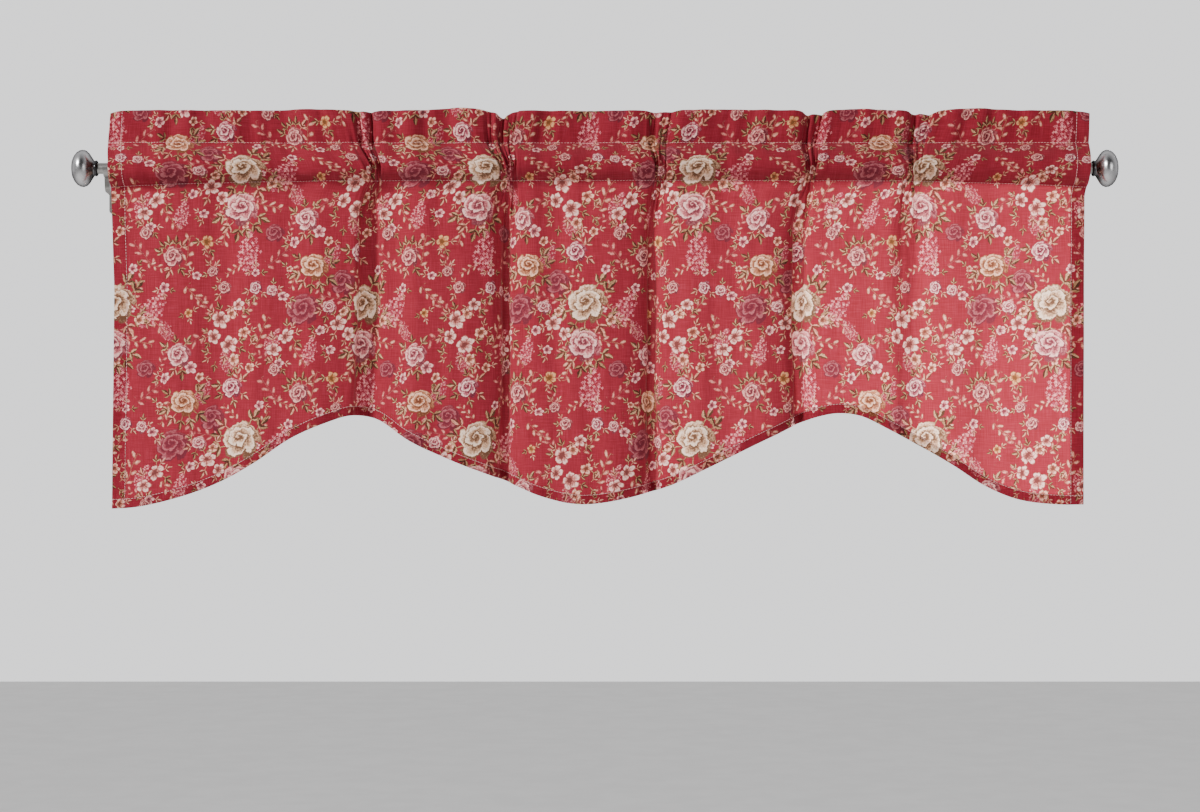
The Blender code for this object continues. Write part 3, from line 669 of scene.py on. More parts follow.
# across, up, radius, turn in degrees, tint, directions of the leaves round it in degrees
ROSES = (
    (0, 0, 27, 12, "cream", (38, 62, 142, 168, 196, 235, 262, 300, 330)),
    (-4, -48, 23, 340, "pink", (200, 232, 262, 285, 312, 338)),
    (79, -60, 16, 20, "pink", (60, 105, 150, 250, 280, 310)),
    (86, -116, 20, 350, "amber", (12, 40, 150, 200, 232, 262, 292, 325)),
    (72, 56, 14, 30, "deep", (50, 78, 106, 134, 160, 250, 300)),
    (-14, 62, 14, 20, "swirl", (40, 100, 170, 210, 280, 330)),
    (14, -140, 9, 60, "swirl", (200, 260, 320)),
    (34, -144, 8, 340, "pink", (20, 340, 80)),
    (-26, -140, 9, 20, "deep", (130, 180, 230)),
    (-54, -3, 10, 350, "pink", (150, 200, 250)),
    (-40, -121, 8, 20, "deep", (60, 120, 200)),
    (40, 84, 9, 45, "deep", (10, 70, 120)),
)
GHOSTS = (
    (74, 154, 24, 20, "mauve", ()), (-38, 26, 17, 10, "mauve", ()), (38, -76, 13, 10, "mauve", ()),
)
# across, up, radius, turn in degrees, tint, directions of the leaves round it in degrees
BLOSSOMS = (
    (-42, -22, 12, 20, "white", (160, 200, 250, 120)),
    (-28, -34, 9, 50, "white", (240, 290, 340)),
    (-36, -8, 7, 15, "peach", (120, 60)),
    (-30, 142, 12, 10, "white", (100, 40, 140, 170)),
    (-38, 123, 10, 70, "white", (150, 190, 230)),
    (-19, 113, 13, 30, "white", (300, 250, 340, 20)),
    (0, 127, 9, 0, "peach", (20, 330, 70)),
    (-35, 100, 10, 15, "white", (160, 200, 260)),
    (-13, 96, 8, 40, "peach", (320, 240, 280)),
    (2, 109, 8, 25, "pink", (0, 40, 310)),
    (53, 123, 12, 40, "white", (330, 60, 20, 90)),
    (38, 107, 11, 5, "white", (190, 240, 150, 100)),
    (45, 91, 7, 5, "pink", (300, 0)),
    (30, -18, 8, 33, "peach", (20, 330, 70)),
    (62, -86, 8, 60, "pink", (160, 120, 200)),
    (-64, -30, 7, 40, "pink", (170, 130, 210)),
    (-60, -126, 7, 10, "pink", (200, 130, 170)),
    (2, -66, 6, 25, "peach", (300, 240)),
    (48, -150, 8, 12, "pink", (300, 20, 340)),
    (22, 42, 7, 44, "pink", (40, 300, 350)),
    (-66, 86, 9, 22, "pink", (130, 210, 170)),
    (-55, 75, 7, 50, "peach", (260, 300, 350)),
    (8, 86, 7, 37, "peach", (70, 20, 110)),
    (-50, -53, 7, 15, "pink", (210, 160, 250)),
    (60, 20, 7, 33, "pink", (340, 200, 270)),
    (-8, -160, 9, 13, "white", (250, 20, 200, 320)),
    (-17, -171, 7, 3, "peach", (200, 150)),
    (-46, -86, 9, 45, "golden", (0, 180, 250, 290)),
    (14, -122, 6, 45, "pink", (180, 0, 90)),
    (20, -6, 5, 20, "pink", (300, 30)),
    (-66, 40, 6, 60, "pink", (100, 220, 300)),
    (-70, 150, 6, 30, "golden", (30, 200, 280)),
    (56, -118, 5, 10, "peach", (140, 250)),
)
# across, up, half its length, turn in degrees, tint
SPRAYS = (
    (6, -98, 31, 84, "lilac"), (46, -6, 29, 52, "lilac"), (-76, -54, 20, 78, "lilac"),
    (-50, 56, 19, 60, "heather"), (62, -30, 17, 120, "heather"), (-22, 96, 20, 100, "heather"),
    (36, 118, 19, 60, "lilac"),
)
SPRIGS = (
    (-70, -96, 19, 70, "tan"), (-24, -74, 17, 250, "tan"), (34, 60, 19, 120, "rust"),
    (-48, 8, 17, 160, "rust"), (22, 128, 20, 60, "tan"), (70, 100, 17, 300, "tan"),
    (-62, 118, 19, 200, "rust"), (42, -104, 18, 30, "rust"), (-10, 84, 15, 100, "tan"),
    (30, -44, 17, 340, "tan"), (-48, 158, 18, 120, "rust"), (6, 158, 16, 40, "tan"),
    (-66, 12, 16, 260, "rust"), (62, -128, 15, 240, "tan"), (28, 22, 15, 60, "tan"),
    (-62, -150, 17, 310, "tan"), (-30, -54, 13, 200, "rust"), (-16, 34, 13, 130, "tan"),
    (52, 44, 13, 330, "tan"), (12, -34, 12, 320, "rust"), (-44, -104, 13, 100, "rust"),
    (60, -60, 13, 60, "rust"), (24, 100, 13, 150, "rust"), (-14, -118, 13, 200, "tan"),
    (52, -24, 15, 300, "tan"),
)

# Printed colours: shadow, middle, light
TINTS = {
    "cream": ("#644630", "#D6A884", "#FFE2CA"),
    "pink": ("#6E2C38", "#D2767A", "#FFC8BE"),
    "amber": ("#6A3A22", "#C47E5A", "#FFC8A8"),
    "deep": ("#5E222C", "#B65E60", "#F2AEA2"),
    "swirl": ("#5E1A2C", "#C46874", "#FFCEC4"),
    "mauve": ("#641A2A", "#802C38", "#AA5C62"),
    "white": ("#6E3430", "#D07C72", "#FFD4C6"),
    "peach": ("#70382A", "#C87660", "#FFC6AE"),
    "golden": ("#70441F", "#BC7244", "#E8AE7C"),
    "lilac": ("#8C2C40", "#C05866", "#F49C9A"),
    "heather": ("#7A2438", "#AC4858", "#DC8684"),
    "olive": ("#34200F", "#745232", "#B68C66"),
    "sage": ("#46301C", "#906846", "#D8AC84"),
    "brown": ("#5A2A20", "#B06650", "#EAA68C"),
    "tan": ("#7A3830", "#C87A66", "#F6BAA4"),
    "rust": ("#742A32", "#BC5C56", "#EC9A8E"),
}
LARGE_LEAF_TINTS = ("olive", "sage", "olive", "sage", "brown")
SMALL_LEAF_TINTS = ("sage", "brown", "olive", "tan", "brown")

# Half the size of each motif, across and up, as a share of its radius or half-length
REACH = {
    "rose": (1.0, 1.0),
    "blossom": (1.0, 1.0),
    "spray": (1.0, 0.62),
    "leaf": (1.0, 0.66),
    "sprig": (1.0, 0.48),
}
# The least height of flowers that are seen a little from the side, as a share of their width
NARROWEST = {"rose": 0.84, "blossom": 0.72}
# Half the length of a leaf: the least, what it grows with its flower's radius, and how much it varies
LEAF_LEAST = 3.2
LEAF_GROWTH = 0.37
LEAF_SPREAD = 0.32
LEAF_BEND = 22.0  # degrees between the ways that leaves may turn
LARGE_FLOWER = 12  # radius above which a flower has large leaves


def leaves_round(flowers):
    """The leaves of every flower: each points away from the flower's centre in its direction and
    starts under the petals. A larger flower has longer and greener leaves."""
    leaves = []
    for across, up, radius, _, _, directions in flowers:
        for number, degrees in enumerate(directions):
            direction = math.radians(degrees)
            varied = 1.0 - 0.5 * LEAF_SPREAD + LEAF_SPREAD * seed.random()
            half = (LEAF_LEAST + LEAF_GROWTH * radius) * varied
            out = 0.84 * radius + 0.72 * half
            bend = LEAF_BEND * (seed.random() - 0.5)
            tints = LARGE_LEAF_TINTS if radius > LARGE_FLOWER else SMALL_LEAF_TINTS
            tint = tints[(number + int(radius)) % len(tints)]
            place = (across + out * math.cos(direction), up + out * math.sin(direction))
            leaves.append((*place, half, degrees + bend, tint))
    return leaves


def in_one_repeat(delta):
    """Moves differences of place by whole repeats of the half-drop lattice to the nearest motif: the
    number of columns is rounded first, then the number of repeats within that column."""
    columns = np.round(delta[..., 0] * 2.0 / REPEAT)
    drop = delta[..., 1] - 0.5 * REPEAT * columns
    wraps = np.round(drop / REPEAT)
    return np.stack([0.5 * REPEAT * columns, 0.5 * REPEAT * columns + REPEAT * wraps], axis=-1)


def split_in_layers(motifs, reach, count):
    """Shares motifs out over printed layers so that no two of one layer touch. Each is held as three
    discs along its length, and goes into the first layer where its discs are BETWEEN clear of all."""
    layers = [[] for _ in range(count)]
    discs = [np.zeros((0, 3)) for _ in range(count)]
    for motif in sorted(motifs, key=lambda row: -row[2]):
        across, up, size, degrees = motif[:4]
        turn = math.radians(degrees)
        along_motif = size * np.array([-1.0, 0.0, 1.0]) * max(0.0, 1.0 - reach[1]) * 0.9
        x = across + along_motif * math.cos(turn)
        y = up + along_motif * math.sin(turn)
        own = np.stack([x, y, np.full(3, size * reach[1])], axis=1)
        for layer in range(count):
            delta = own[:, None, :2] - discs[layer][None, :, :2]
            apart = np.linalg.norm(delta - in_one_repeat(delta), axis=2)
            if np.all(apart > own[:, None, 2] + discs[layer][None, :, 2] + BETWEEN):
                layers[layer].append(motif)
                discs[layer] = np.concatenate([discs[layer], own])
                break
    return layers


def print_layer(mesh, name, motifs, kind, corner_places):
    """Writes one printed layer to the mesh: for each face the motif that covers it, as every corner's
    place in that motif's own frame, in units of its size, and the number of its tint."""
    reach = REACH[kind]
    places = corner_places.reshape(-1, 4, 2)
    middles = places.mean(axis=1)
    nearest = np.ones(len(middles))
    own = np.full((len(middles), 4, 3), NOWHERE)
    own[:, :, 2] = 0.0
    tints = sorted({motif[4] for motif in motifs})
    for across, up, size, degrees, tint in [motif[:5] for motif in motifs]:
        centre = np.array(FIRST_ROSE) + (across, up)
        delta = middles - centre
        shift = in_one_repeat(delta)
        turn = math.radians(degrees)
        narrow = 1.0 - seed.random() * (1.0 - NARROWEST.get(kind, 1.0))
        axes = np.array([[math.cos(turn), -math.sin(turn)], [math.sin(turn), math.cos(turn)]]) / size
        axes[:, 1] /= narrow
        limit = np.array(reach) + CLAIM / size
        distance = np.abs((delta - shift) @ axes / limit).max(axis=1)
        take = distance < nearest
        nearest[take] = distance[take]
        corner_delta = places[take] - centre - shift[take][:, None]
        own[take, :, :2] = corner_delta @ axes
        own[take, :, 2] = tints.index(tint)
    attribute = mesh.attributes.new(name, "FLOAT_VECTOR", "CORNER")
    attribute.data.foreach_set("vector", own.astype(np.float32).ravel())
    return tints


def new_print(name):
    """An empty node group that paints one kind of motif: from a place in the motif's own frame to how
    much of the cloth it covers there and its tone, from 0 in shadow to 1 in light."""
    group = bpy.data.node_groups.new(name, "ShaderNodeTree")
    group.interface.new_socket(name="Place", in_out="INPUT", socket_type="NodeSocketVector")
    group.interface.new_socket(name="Cover", in_out="OUTPUT", socket_type="NodeSocketFloat")
    group.interface.new_socket(name="Tone", in_out="OUTPUT", socket_type="NodeSocketFloat")
    place = group.nodes.new("NodeGroupInput").outputs["Place"]
    return group, place


def close_print(group, cover, tone):
    """Joins a motif's cover and tone to its group's outputs."""
    last = group.nodes.new("NodeGroupOutput")
    group.links.new(cover, last.inputs["Cover"])
    group.links.new(tone, last.inputs["Tone"])
    return group


def round_flower(name, heart):
    """Starts a flower's print: its group, and the place, the radius and the angle round its heart. The
    heart sits off the middle: a place is moved by heart times what it is short of the rim."""
    g, place = new_print(name)
    flat = add(g, "VectorMath MULTIPLY", (place, (1.0, 1.0, 0.0)))
    reach = add(g, "VectorMath LENGTH", (flat,), out=1)
    short = add(g, "MapRange", (reach, 0.0, 1.0, 1.0, 0.0))
    moved = add(g, "VectorMath SCALE", {0: heart, "Scale": short})
    level = add(g, "VectorMath ADD", (flat, moved))
    x = add(g, "SeparateXYZ", (level,))
    radius = add(g, "VectorMath LENGTH", (level,), out=1)
    return g, level, radius, add(g, "Math ARCTAN2", (x.node.outputs[1], x))


def rose_print():
    """A full rose. Its petals are turns of a spiral: the radius, divided by five lobes that twist with
    it, plus the turn round the heart; within a turn the tone runs from the crease to the lip."""
    g, level, radius, angle = round_flower("rose_print", (0.10, -0.30, 0.0))
    twist = add(g, "Math MULTIPLY", (radius, 5.2))
    phase = add(g, "Math MULTIPLY_ADD", (angle, 2.5, twist))
    lobe = add(g, "Math ABSOLUTE", (add(g, "Math SINE", (phase,)),))
    round_lobe = add(g, "Math POWER", (lobe, 0.6))
    rim = add(g, "Math MULTIPLY_ADD", (round_lobe, 0.26, 0.72))
    within = add(g, "Math DIVIDE", (radius, rim))
    cover = add(g, "MapRange", (within, 0.88, 1.0, 1.0, 0.0))
    turns = add(g, "Math MULTIPLY", (angle, 1.0 / (2.0 * math.pi)))
    spiral = add(g, "Math MULTIPLY_ADD", (within, 2.7, turns))
    petal = add(g, "Math FRACT", (spiral,))
    shade = add(g, "FloatCurve", (1.0, petal))
    curve = shade.node.mapping.curves[0]
    for place_on, value in ((0.10, 0.24), (0.35, 0.44), (0.70, 0.74), (0.90, 1.00)):
        curve.points.new(place_on, value)
    curve.points[0].location = (0.0, 0.06)
    curve.points[-1].location = (1.0, 0.22)
    heart = add(g, "MapRange", (radius, 0.06, 0.42, 0.38, 0.0), interpolation_type="SMOOTHSTEP")
    lit = add(g, "VectorMath DOT_PRODUCT", (level, (-0.10, 0.16, 0.0)), out=1)
    deep = add(g, "Math SUBTRACT", (shade, heart))
    tone = add(g, "Math ADD", (deep, lit), use_clamp=True)
    return close_print(g, cover, tone)


def blossom_print():
    """A flat blossom of five round petals: the radius divided by five lobes. The tone rises from the
    eye to the rim, with a dark line between petals and a dark eye."""
    g, _, radius, angle = round_flower("blossom_print", (0.16, -0.16, 0.0))
    half_angle = add(g, "Math MULTIPLY", (angle, 2.5))
    lobe = add(g, "Math ABSOLUTE", (add(g, "Math COSINE", (half_angle,)),))
    round_lobe = add(g, "Math POWER", (lobe, 0.45))
    rim = add(g, "Math MULTIPLY_ADD", (round_lobe, 0.52, 0.46))
    within = add(g, "Math DIVIDE", (radius, rim))
    cover = add(g, "MapRange", (within, 0.84, 1.0, 1.0, 0.0))
    rise = add(g, "MapRange", (within, 0.14, 0.85, 0.12, 0.98))
    eye = add(g, "MapRange", (radius, 0.12, 0.26, 1.0, 0.0), interpolation_type="SMOOTHSTEP")
    parting = add(g, "MapRange", (lobe, 0.0, 0.55, 0.60, 0.0))
    petals = add(g, "Math SUBTRACT", (rise, parting), use_clamp=True)
    tone = add(g, "Math SUBTRACT", (petals, eye), use_clamp=True)
    return close_print(g, cover, tone)


def spray_print():
    """A spray of tiny florets: the cells of a Voronoi pattern, each a dot round its own point, kept
    where that point lies in a drop shape that narrows towards the tip."""
    g, place = new_print("spray_print")
    level = add(g, "VectorMath MULTIPLY", (place, (1.0, 1.0, 0.0)))
    star = dict(voronoi_dimensions="2D", distance="MINKOWSKI")
    grain = {"Vector": level, "Scale": 8.0, "Randomness": 0.9, "Exponent": 0.62}
    florets = add(g, "TexVoronoi", grain, **star)
    chance = florets.node.outputs["Color"]
    middle = add(g, "VectorMath MULTIPLY", (florets.node.outputs["Position"], (1.0, 1.0, 0.0)))
    x = add(g, "SeparateXYZ", (middle,))
    y = add(g, "Math ABSOLUTE", (x.node.outputs[1],))
    round_end = add(g, "Math MULTIPLY_ADD", (add(g, "Math MULTIPLY", (x, x)), -1.0, 0.86))
    taper = add(g, "Math MULTIPLY_ADD", (x, -0.20, 0.54))
    width = add(g, "Math MULTIPLY", (round_end, taper))
    inside = add(g, "Math LESS_THAN", (y, width))
    dot = add(g, "MapRange", (florets, 0.60, 0.86, 1.0, 0.0))
    cover = add(g, "Math MULTIPLY", (inside, dot))
    fade = add(g, "MapRange", (florets, 0.05, 0.7, 0.02, 0.40))
    pale = add(g, "SeparateColor", (chance,))
    tone = add(g, "Math MULTIPLY_ADD", (pale, 0.85, fade), use_clamp=True)
    return close_print(g, cover, tone)


def one_leaf(g, place):
    """Cover and tone of one leaf along its own X axis: a lens whose half-width is a share of 1 - x^2,
    wider at the stalk. One half is darker, the midrib is light, and side veins slant forward."""
    x = add(g, "SeparateXYZ", (place,))
    y = x.node.outputs[1]
    half = add(g, "Math ABSOLUTE", (y,))
    lens = add(g, "Math MULTIPLY_ADD", (add(g, "Math MULTIPLY", (x, x)), -1.0, 1.0))
    taper = add(g, "Math MULTIPLY_ADD", (x, -0.14, 0.48))
    width = add(g, "Math MULTIPLY", (lens, taper))
    edge = add(g, "Math SUBTRACT", (width, half))
    cover = add(g, "MapRange", (edge, 0.0, 0.14, 0.0, 1.0))
    side = add(g, "MapRange", (y, -0.06, 0.06, 0.20, 0.74), interpolation_type="SMOOTHSTEP")
    slant = add(g, "Math MULTIPLY", (half, -4.0))
    vein_place = add(g, "Math MULTIPLY_ADD", (x, 3.5, slant))
    vein = add(g, "Math PINGPONG", (vein_place, 0.5))
    veined = add(g, "MapRange", (vein, 0.0, 0.18, -0.22, 0.0))
    rib = add(g, "MapRange", (half, 0.03, 0.09, 0.42, 0.0))
    shaded = add(g, "Math ADD", (side, veined))
    return cover, add(g, "Math ADD", (shaded, rib), use_clamp=True)


def leaf_print():
    """Three leaves on one stalk along the X axis, as a rose bears them: one at the tip, and a pair that
    leans forward on either side of the stalk."""
    g, place = new_print("leaf_print")
    x = add(g, "SeparateXYZ", (place,))
    y = x.node.outputs[1]
    half = add(g, "Math ABSOLUTE", (y,))
    folded = add(g, "CombineXYZ", (x, half))
    tip = {"Vector": place, "Location": (0.46, 0.0, 0.0), "Scale": (0.54, 0.54, 1.0)}
    tip_cover, tip_tone = one_leaf(g, add(g, "Mapping", tip, vector_type="TEXTURE"))
    lean = (0.0, 0.0, math.radians(52))
    pair = {"Vector": folded, "Location": (-0.06, 0.36, 0.0), "Rotation": lean, "Scale": (0.42, 0.42, 1.0)}
    pair_cover, pair_tone = one_leaf(g, add(g, "Mapping", pair, vector_type="TEXTURE"))
    stalk = add(g, "MapRange", (half, 0.03, 0.07, 1.0, 0.0))
    along_stalk = add(g, "Math COMPARE", (x, -0.35, 0.60))
    stalk_cover = add(g, "Math MULTIPLY", (stalk, along_stalk))
    leaves = add(g, "Math MAXIMUM", (tip_cover, pair_cover))
    cover = add(g, "Math MAXIMUM", (leaves, stalk_cover))
    on_tip = add(g, "Math GREATER_THAN", (tip_cover, pair_cover))
    tone = add(g, "Mix", {"Factor": on_tip, "A": pair_tone, "B": tip_tone})
    return close_print(g, cover, tone)


def sprig_print():
    """A sprig along its own X axis: a wavy stem, and pairs of narrow leaves, each an ellipse that
    leans towards the tip, one to every third of the length on alternate sides."""
    g, place = new_print("sprig_print")
    x = add(g, "SeparateXYZ", (place,))
    y = x.node.outputs[1]
    wave = add(g, "Math SINE", (add(g, "Math MULTIPLY", (x, 2.2)),))
    off = add(g, "Math MULTIPLY_ADD", (wave, -0.10, y))
    half = add(g, "Math ABSOLUTE", (off,))
    stem = add(g, "MapRange", (half, 0.012, 0.035, 1.0, 0.0))
    side = add(g, "Math GREATER_THAN", (off, 0.0))
    shifted = add(g, "Math MULTIPLY_ADD", (side, 0.5, 0.0))
    lean = add(g, "Math MULTIPLY_ADD", (half, -1.15, shifted))
    step = add(g, "Math MULTIPLY_ADD", (x, 1.6, lean))
    from_middle = add(g, "Math SUBTRACT", (add(g, "Math FRACT", (step,)), 0.5))
    narrow = add(g, "Math MULTIPLY", (from_middle, 4.2))
    long = add(g, "Math MULTIPLY_ADD", (half, 5.2, -1.12))
    pair = add(g, "CombineXYZ", (narrow, long))
    ellipse = add(g, "VectorMath LENGTH", (pair,), out=1)
    leaf = add(g, "MapRange", (ellipse, 0.80, 1.0, 1.0, 0.0))
    both = add(g, "Math MAXIMUM", (stem, leaf))
    ends = add(g, "Math ABSOLUTE", (x,))
    inside = add(g, "MapRange", (ends, 0.93, 0.97, 1.0, 0.0))
    cover = add(g, "Math MULTIPLY", (both, inside))
    tone = add(g, "MapRange", (ellipse, 0.0, 1.0, 0.9, 0.35))
    return close_print(g, cover, tone)


def paint(tree, ground, layer, wobble, blotch):
    """Prints one layer over the ground: its motifs' cover mixes in their own tint, shadow to middle to
    light by their tone. The wobble shifts outlines by amount and the blotch varies the tone, as in
    hand-drawn ones, and the ink is darkest along its outline."""
    name, tints, motif_print, amount = layer
    drawn = add(tree, "Attribute", out=1, attribute_name=name)
    number = add(tree, "SeparateXYZ", (drawn,), out=2)
    share = add(tree, "Math MULTIPLY_ADD", (number, 1.0 / len(tints), 0.5 / len(tints)))
    place = add(tree, "VectorMath MULTIPLY_ADD", (wobble, (amount, amount, 0.0), drawn))
    cover = add(tree, "Group", {"Place": place}, node_tree=motif_print)
    rim = add(tree, "MapRange", (cover, 0.3, 1.0, 0.10, 1.0))
    toned = add(tree, "Math ADD", (cover.node.outputs["Tone"], blotch))
    crisp = add(tree, "MapRange", (toned, 0.13, 0.79, 0.0, 1.0))
    tone = add(tree, "Math MULTIPLY", (crisp, rim))
    inks = []
    for depth in range(3):
        stops = [(k / len(tints), TINTS[tint][depth]) for k, tint in enumerate(tints)]
        inks.append(set_ramp(add(tree, "ValToRGB", (share,)), stops, "CONSTANT"))
    low = add(tree, "MapRange", (tone, 0.0, 0.5, 0.0, 1.0))
    high = add(tree, "MapRange", (tone, 0.5, 1.0, 0.0, 1.0))
    shadow = add(tree, "MixRGB", (low, inks[0], inks[1]))
    ink = add(tree, "MixRGB", (high, shadow, inks[2]))
    inked = add(tree, "MapRange", (cover, 0.05, 0.4, 0.0, 0.92))
    return add(tree, "MixRGB", (inked, ground, ink))


# ---------------------------------------------------------------- cloth

along = column_places()
points, print_height, hem_gap, marks = cloth_rows(along)
grid, print_across, print_height = with_side_hems(points, along, print_height, hem_gap)
cloth_mesh = surface_mesh("valance_cloth", grid)

# Every corner's place on the flat cloth: in a unit square for the baked map, in millimetres for the print
flat = np.stack([np.broadcast_to(print_across, print_height.shape), print_height], axis=2).reshape(-1, 2)
lowest = flat.min(axis=0)
span = flat.max(axis=0) - lowest
corner_points = np.empty(len(cloth_mesh.loops), dtype=np.int32)
cloth_mesh.loops.foreach_get("vertex_index", corner_points)
corner_flat = flat[corner_points]
corner_mm = 1000.0 * corner_flat
bake_map = cloth_mesh.uv_layers.new(name="OFBake")
bake_place = BAKE_MARGIN + (1.0 - 2.0 * BAKE_MARGIN) * (corner_flat - lowest) / span
bake_map.uv.foreach_set("vector", bake_place.astype(np.float32).ravel())
flat_place = cloth_mesh.attributes.new("flat_place", "FLOAT_VECTOR", "CORNER")
flat_place.data.foreach_set("vector", np.pad(corner_mm, ((0, 0), (0, 1))).astype(np.float32).ravel())

leaf_layers = split_in_layers(leaves_round(ROSES + BLOSSOMS), REACH["leaf"], 3)
sprig_layers = split_in_layers(SPRIGS, REACH["sprig"], 2)
blossom_layers = split_in_layers(BLOSSOMS, REACH["blossom"], 2)
MOTIF_PRINTS = {
    "rose": rose_print(),
    "blossom": blossom_print(),
    "spray": spray_print(),
    "leaf": leaf_print(),
    "sprig": sprig_print(),
}
# The layers as printed, the lowest first: name, motifs, kind, how far its outlines wobble
PRINT_ORDER = (
    ("print_ghosts", GHOSTS, "rose", 0.30),
    ("print_sprigs_1", sprig_layers[0], "sprig", 0.18),
    ("print_sprigs_2", sprig_layers[1], "sprig", 0.18),
    ("print_sprays", SPRAYS, "spray", 0.10),
    ("print_leaves_1", leaf_layers[0], "leaf", 0.34),
    ("print_leaves_2", leaf_layers[1], "leaf", 0.34),
    ("print_leaves_3", leaf_layers[2], "leaf", 0.34),
    ("print_blossoms_1", blossom_layers[0], "blossom", 0.62),
    ("print_blossoms_2", blossom_layers[1], "blossom", 0.62),
    ("print_roses", ROSES, "rose", 0.36),
)

# Printed plain weave of cotton and linen: matt, with the ink a little uneven over the threads. A soft
# sheen comes from its fibre ends, and light comes through it.
cloth_material, tree = new_tree("printed_cotton_linen")
flat_mm = add(tree, "Attribute", out=1, attribute_name="flat_place")
uneven = add(tree, "TexNoise", {"Vector": flat_mm, "Scale": 0.14, "Detail": 3.0, "Roughness": 0.62}, out=1)
wobble = add(tree, "VectorMath SUBTRACT", (uneven, (0.5, 0.5, 0.5)))
mottle = add(tree, "TexNoise", {"Vector": flat_mm, "Scale": 0.46, "Detail": 3.0, "Roughness": 0.65})
blotch = add(tree, "MapRange", (mottle, 0.30, 0.70, -0.36, 0.22))
# Slubs: threads a little thicker and paler than their neighbours, 1.2 mm apart and 30 mm long, drawn
# coarser than the real half-millimetre thread so that they show
weft_place = add(tree, "VectorMath MULTIPLY", (flat_mm, (0.05, 1.1, 1.0)))
warp_place = add(tree, "VectorMath MULTIPLY", (flat_mm, (1.1, 0.04, 1.0)))
weft = add(tree, "TexNoise", {"Vector": weft_place, "Scale": 1.0, "Detail": 1.0})
warp = add(tree, "TexNoise", {"Vector": warp_place, "Scale": 1.0, "Detail": 1.0})
slub = add(tree, "Math ADD", (weft, warp))
thread = add(tree, "MapRange", (slub, 0.72, 1.28, 0.0, 1.0))
colour = add(tree, "ValToRGB", (thread,))
set_ramp(colour, ((0.0, "#851523"), (0.45, "#8D1B2C"), (0.75, "#911F30"), (1.0, "#98293A")))
for name, motifs, kind, amount in PRINT_ORDER:
    tints = print_layer(cloth_mesh, name, motifs, kind, corner_mm)
    colour = paint(tree, colour, (name, tints, MOTIF_PRINTS[kind], amount), wobble, blotch)
lightness = add(tree, "MapRange", (slub, 0.7, 1.3, 0.96, 1.03))
woven = add(tree, "VectorMath SCALE", {0: colour, "Scale": lightness})
relief = add(tree, "Bump", {"Strength": 0.35, "Distance": 0.0005, "Height": slub})
finish = {"Roughness": 0.88, "Specular IOR Level": 0.25, "Sheen Weight": 0.15, "Sheen Roughness": 0.4}
front = add(tree, "BsdfPrincipled", {"Base Color": woven, "Normal": relief, **finish})
# Light that comes through the thin cloth passes between the threads as well, so it is paler
pale = add(tree, "MixRGB", (0.03, woven, linear("#F2CFC6")))
through = add(tree, "BsdfTranslucent", {"Color": pale, "Normal": relief})
both = add(tree, "MixShader", (0.17, front, through))
add(tree, "OutputMaterial", (both,))

cloth = add_piece("valance_cloth", cloth_mesh, cloth_material)
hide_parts("valance")

# ---------------------------------------------------------------- stitches

normals = grid_normals(points)
side_column = int(np.searchsorted(along, SIDE_HEM - SIDE_STITCH_IN))
lines = []
for name in ("hem", "seam", "header", "hem_back", "seam_back", "header_back"):
    lines.append((points[marks[name]], normals[marks[name]]))
panel = slice(marks["edge"], marks["header_back"])
for place in (side_column, len(along) - 1 - side_column):
    lines.append((points[panel, place], normals[panel, place]))

# Spun polyester: pale pink, with the fine dark flecks of its twist and a soft sheen along its top
thread_material, tree = new_tree("polyester_thread")
place = add(tree, "TexCoord", out=3)
twist = add(tree, "TexNoise", {"Vector": place, "Scale": 2600.0, "Detail": 1.0})
ply = add(tree, "ValToRGB", (twist,))
set_ramp(ply, ((0.30, "#B87A7C"), (0.50, "#E6B0AE"), (0.75, "#F8D6D2")))
relief = add(tree, "Bump", {"Strength": 0.4, "Distance": 0.0001, "Height": twist})
finish = {"Roughness": 0.55, "Sheen Weight": 0.2}
spun = add(tree, "BsdfPrincipled", {"Base Color": ply, "Normal": relief, **finish})
add(tree, "OutputMaterial", (spun,))
thread_mesh = stitches_mesh("valance_stitches", stitch_points(lines))
stitches = add_piece("valance_stitches", thread_mesh, thread_material)

# ---------------------------------------------------------------- metal

# Antique silver: bright on the knob with a dark rim where it turns away, its colour darker towards the
# collar, over the collar and up the neck, and clouded where it is handled
finial_material, tree = new_tree("antique_silver")
place = add(tree, "TexCoord", out=3)
from_middle = add(tree, "VectorMath SUBTRACT", (place, (0.5 * BRACKET_SPAN, 0.0, 0.0)))
side = add(tree, "Math ABSOLUTE", (add(tree, "SeparateXYZ", (from_middle,)),))
collar = 0.5 * BRACKET_SPAN + COLLAR_OUT
out = add(tree, "Math SUBTRACT", (side, collar))
cloud = add(tree, "TexNoise", {"Vector": place, "Scale": 130.0, "Detail": 4.0, "Roughness": 0.6})
uneven = add(tree, "Math MULTIPLY_ADD", (cloud, 0.006, out))
# The colour runs from dark over the collar to bright on the knob
lightness = add(tree, "MapRange", (uneven, 0.0045, 0.0125, 0.0, 1.0))
silver = add(tree, "ValToRGB", (lightness,))
set_ramp(silver, ((0.0, "#434244"), (0.45, "#7C7B7C"), (1.0, "#B4B3B4")))
haze = add(tree, "MapRange", (cloud, 0.3, 0.7, 0.22, 0.36))
finish = {"Metallic": 1.0, "Roughness": haze, "Specular Tint": linear("#141416")}
knob = add(tree, "BsdfPrincipled", {"Base Color": silver, **finish})
add(tree, "OutputMaterial", (knob,))
outline = [(0.0, 0.0), *FINIAL_OUTLINE]
for name, x, side in (("finial_left", -COLLAR_OUT, -1), ("finial_right", BRACKET_SPAN + COLLAR_OUT, 1)):
    mesh = turned_mesh(name + "_turned", outline, FINIAL_SIDES, (x, -ROD_OUT, ROD_UP), side)
    finial = add_piece(name + "_turned", mesh, finial_material)
    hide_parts(name)

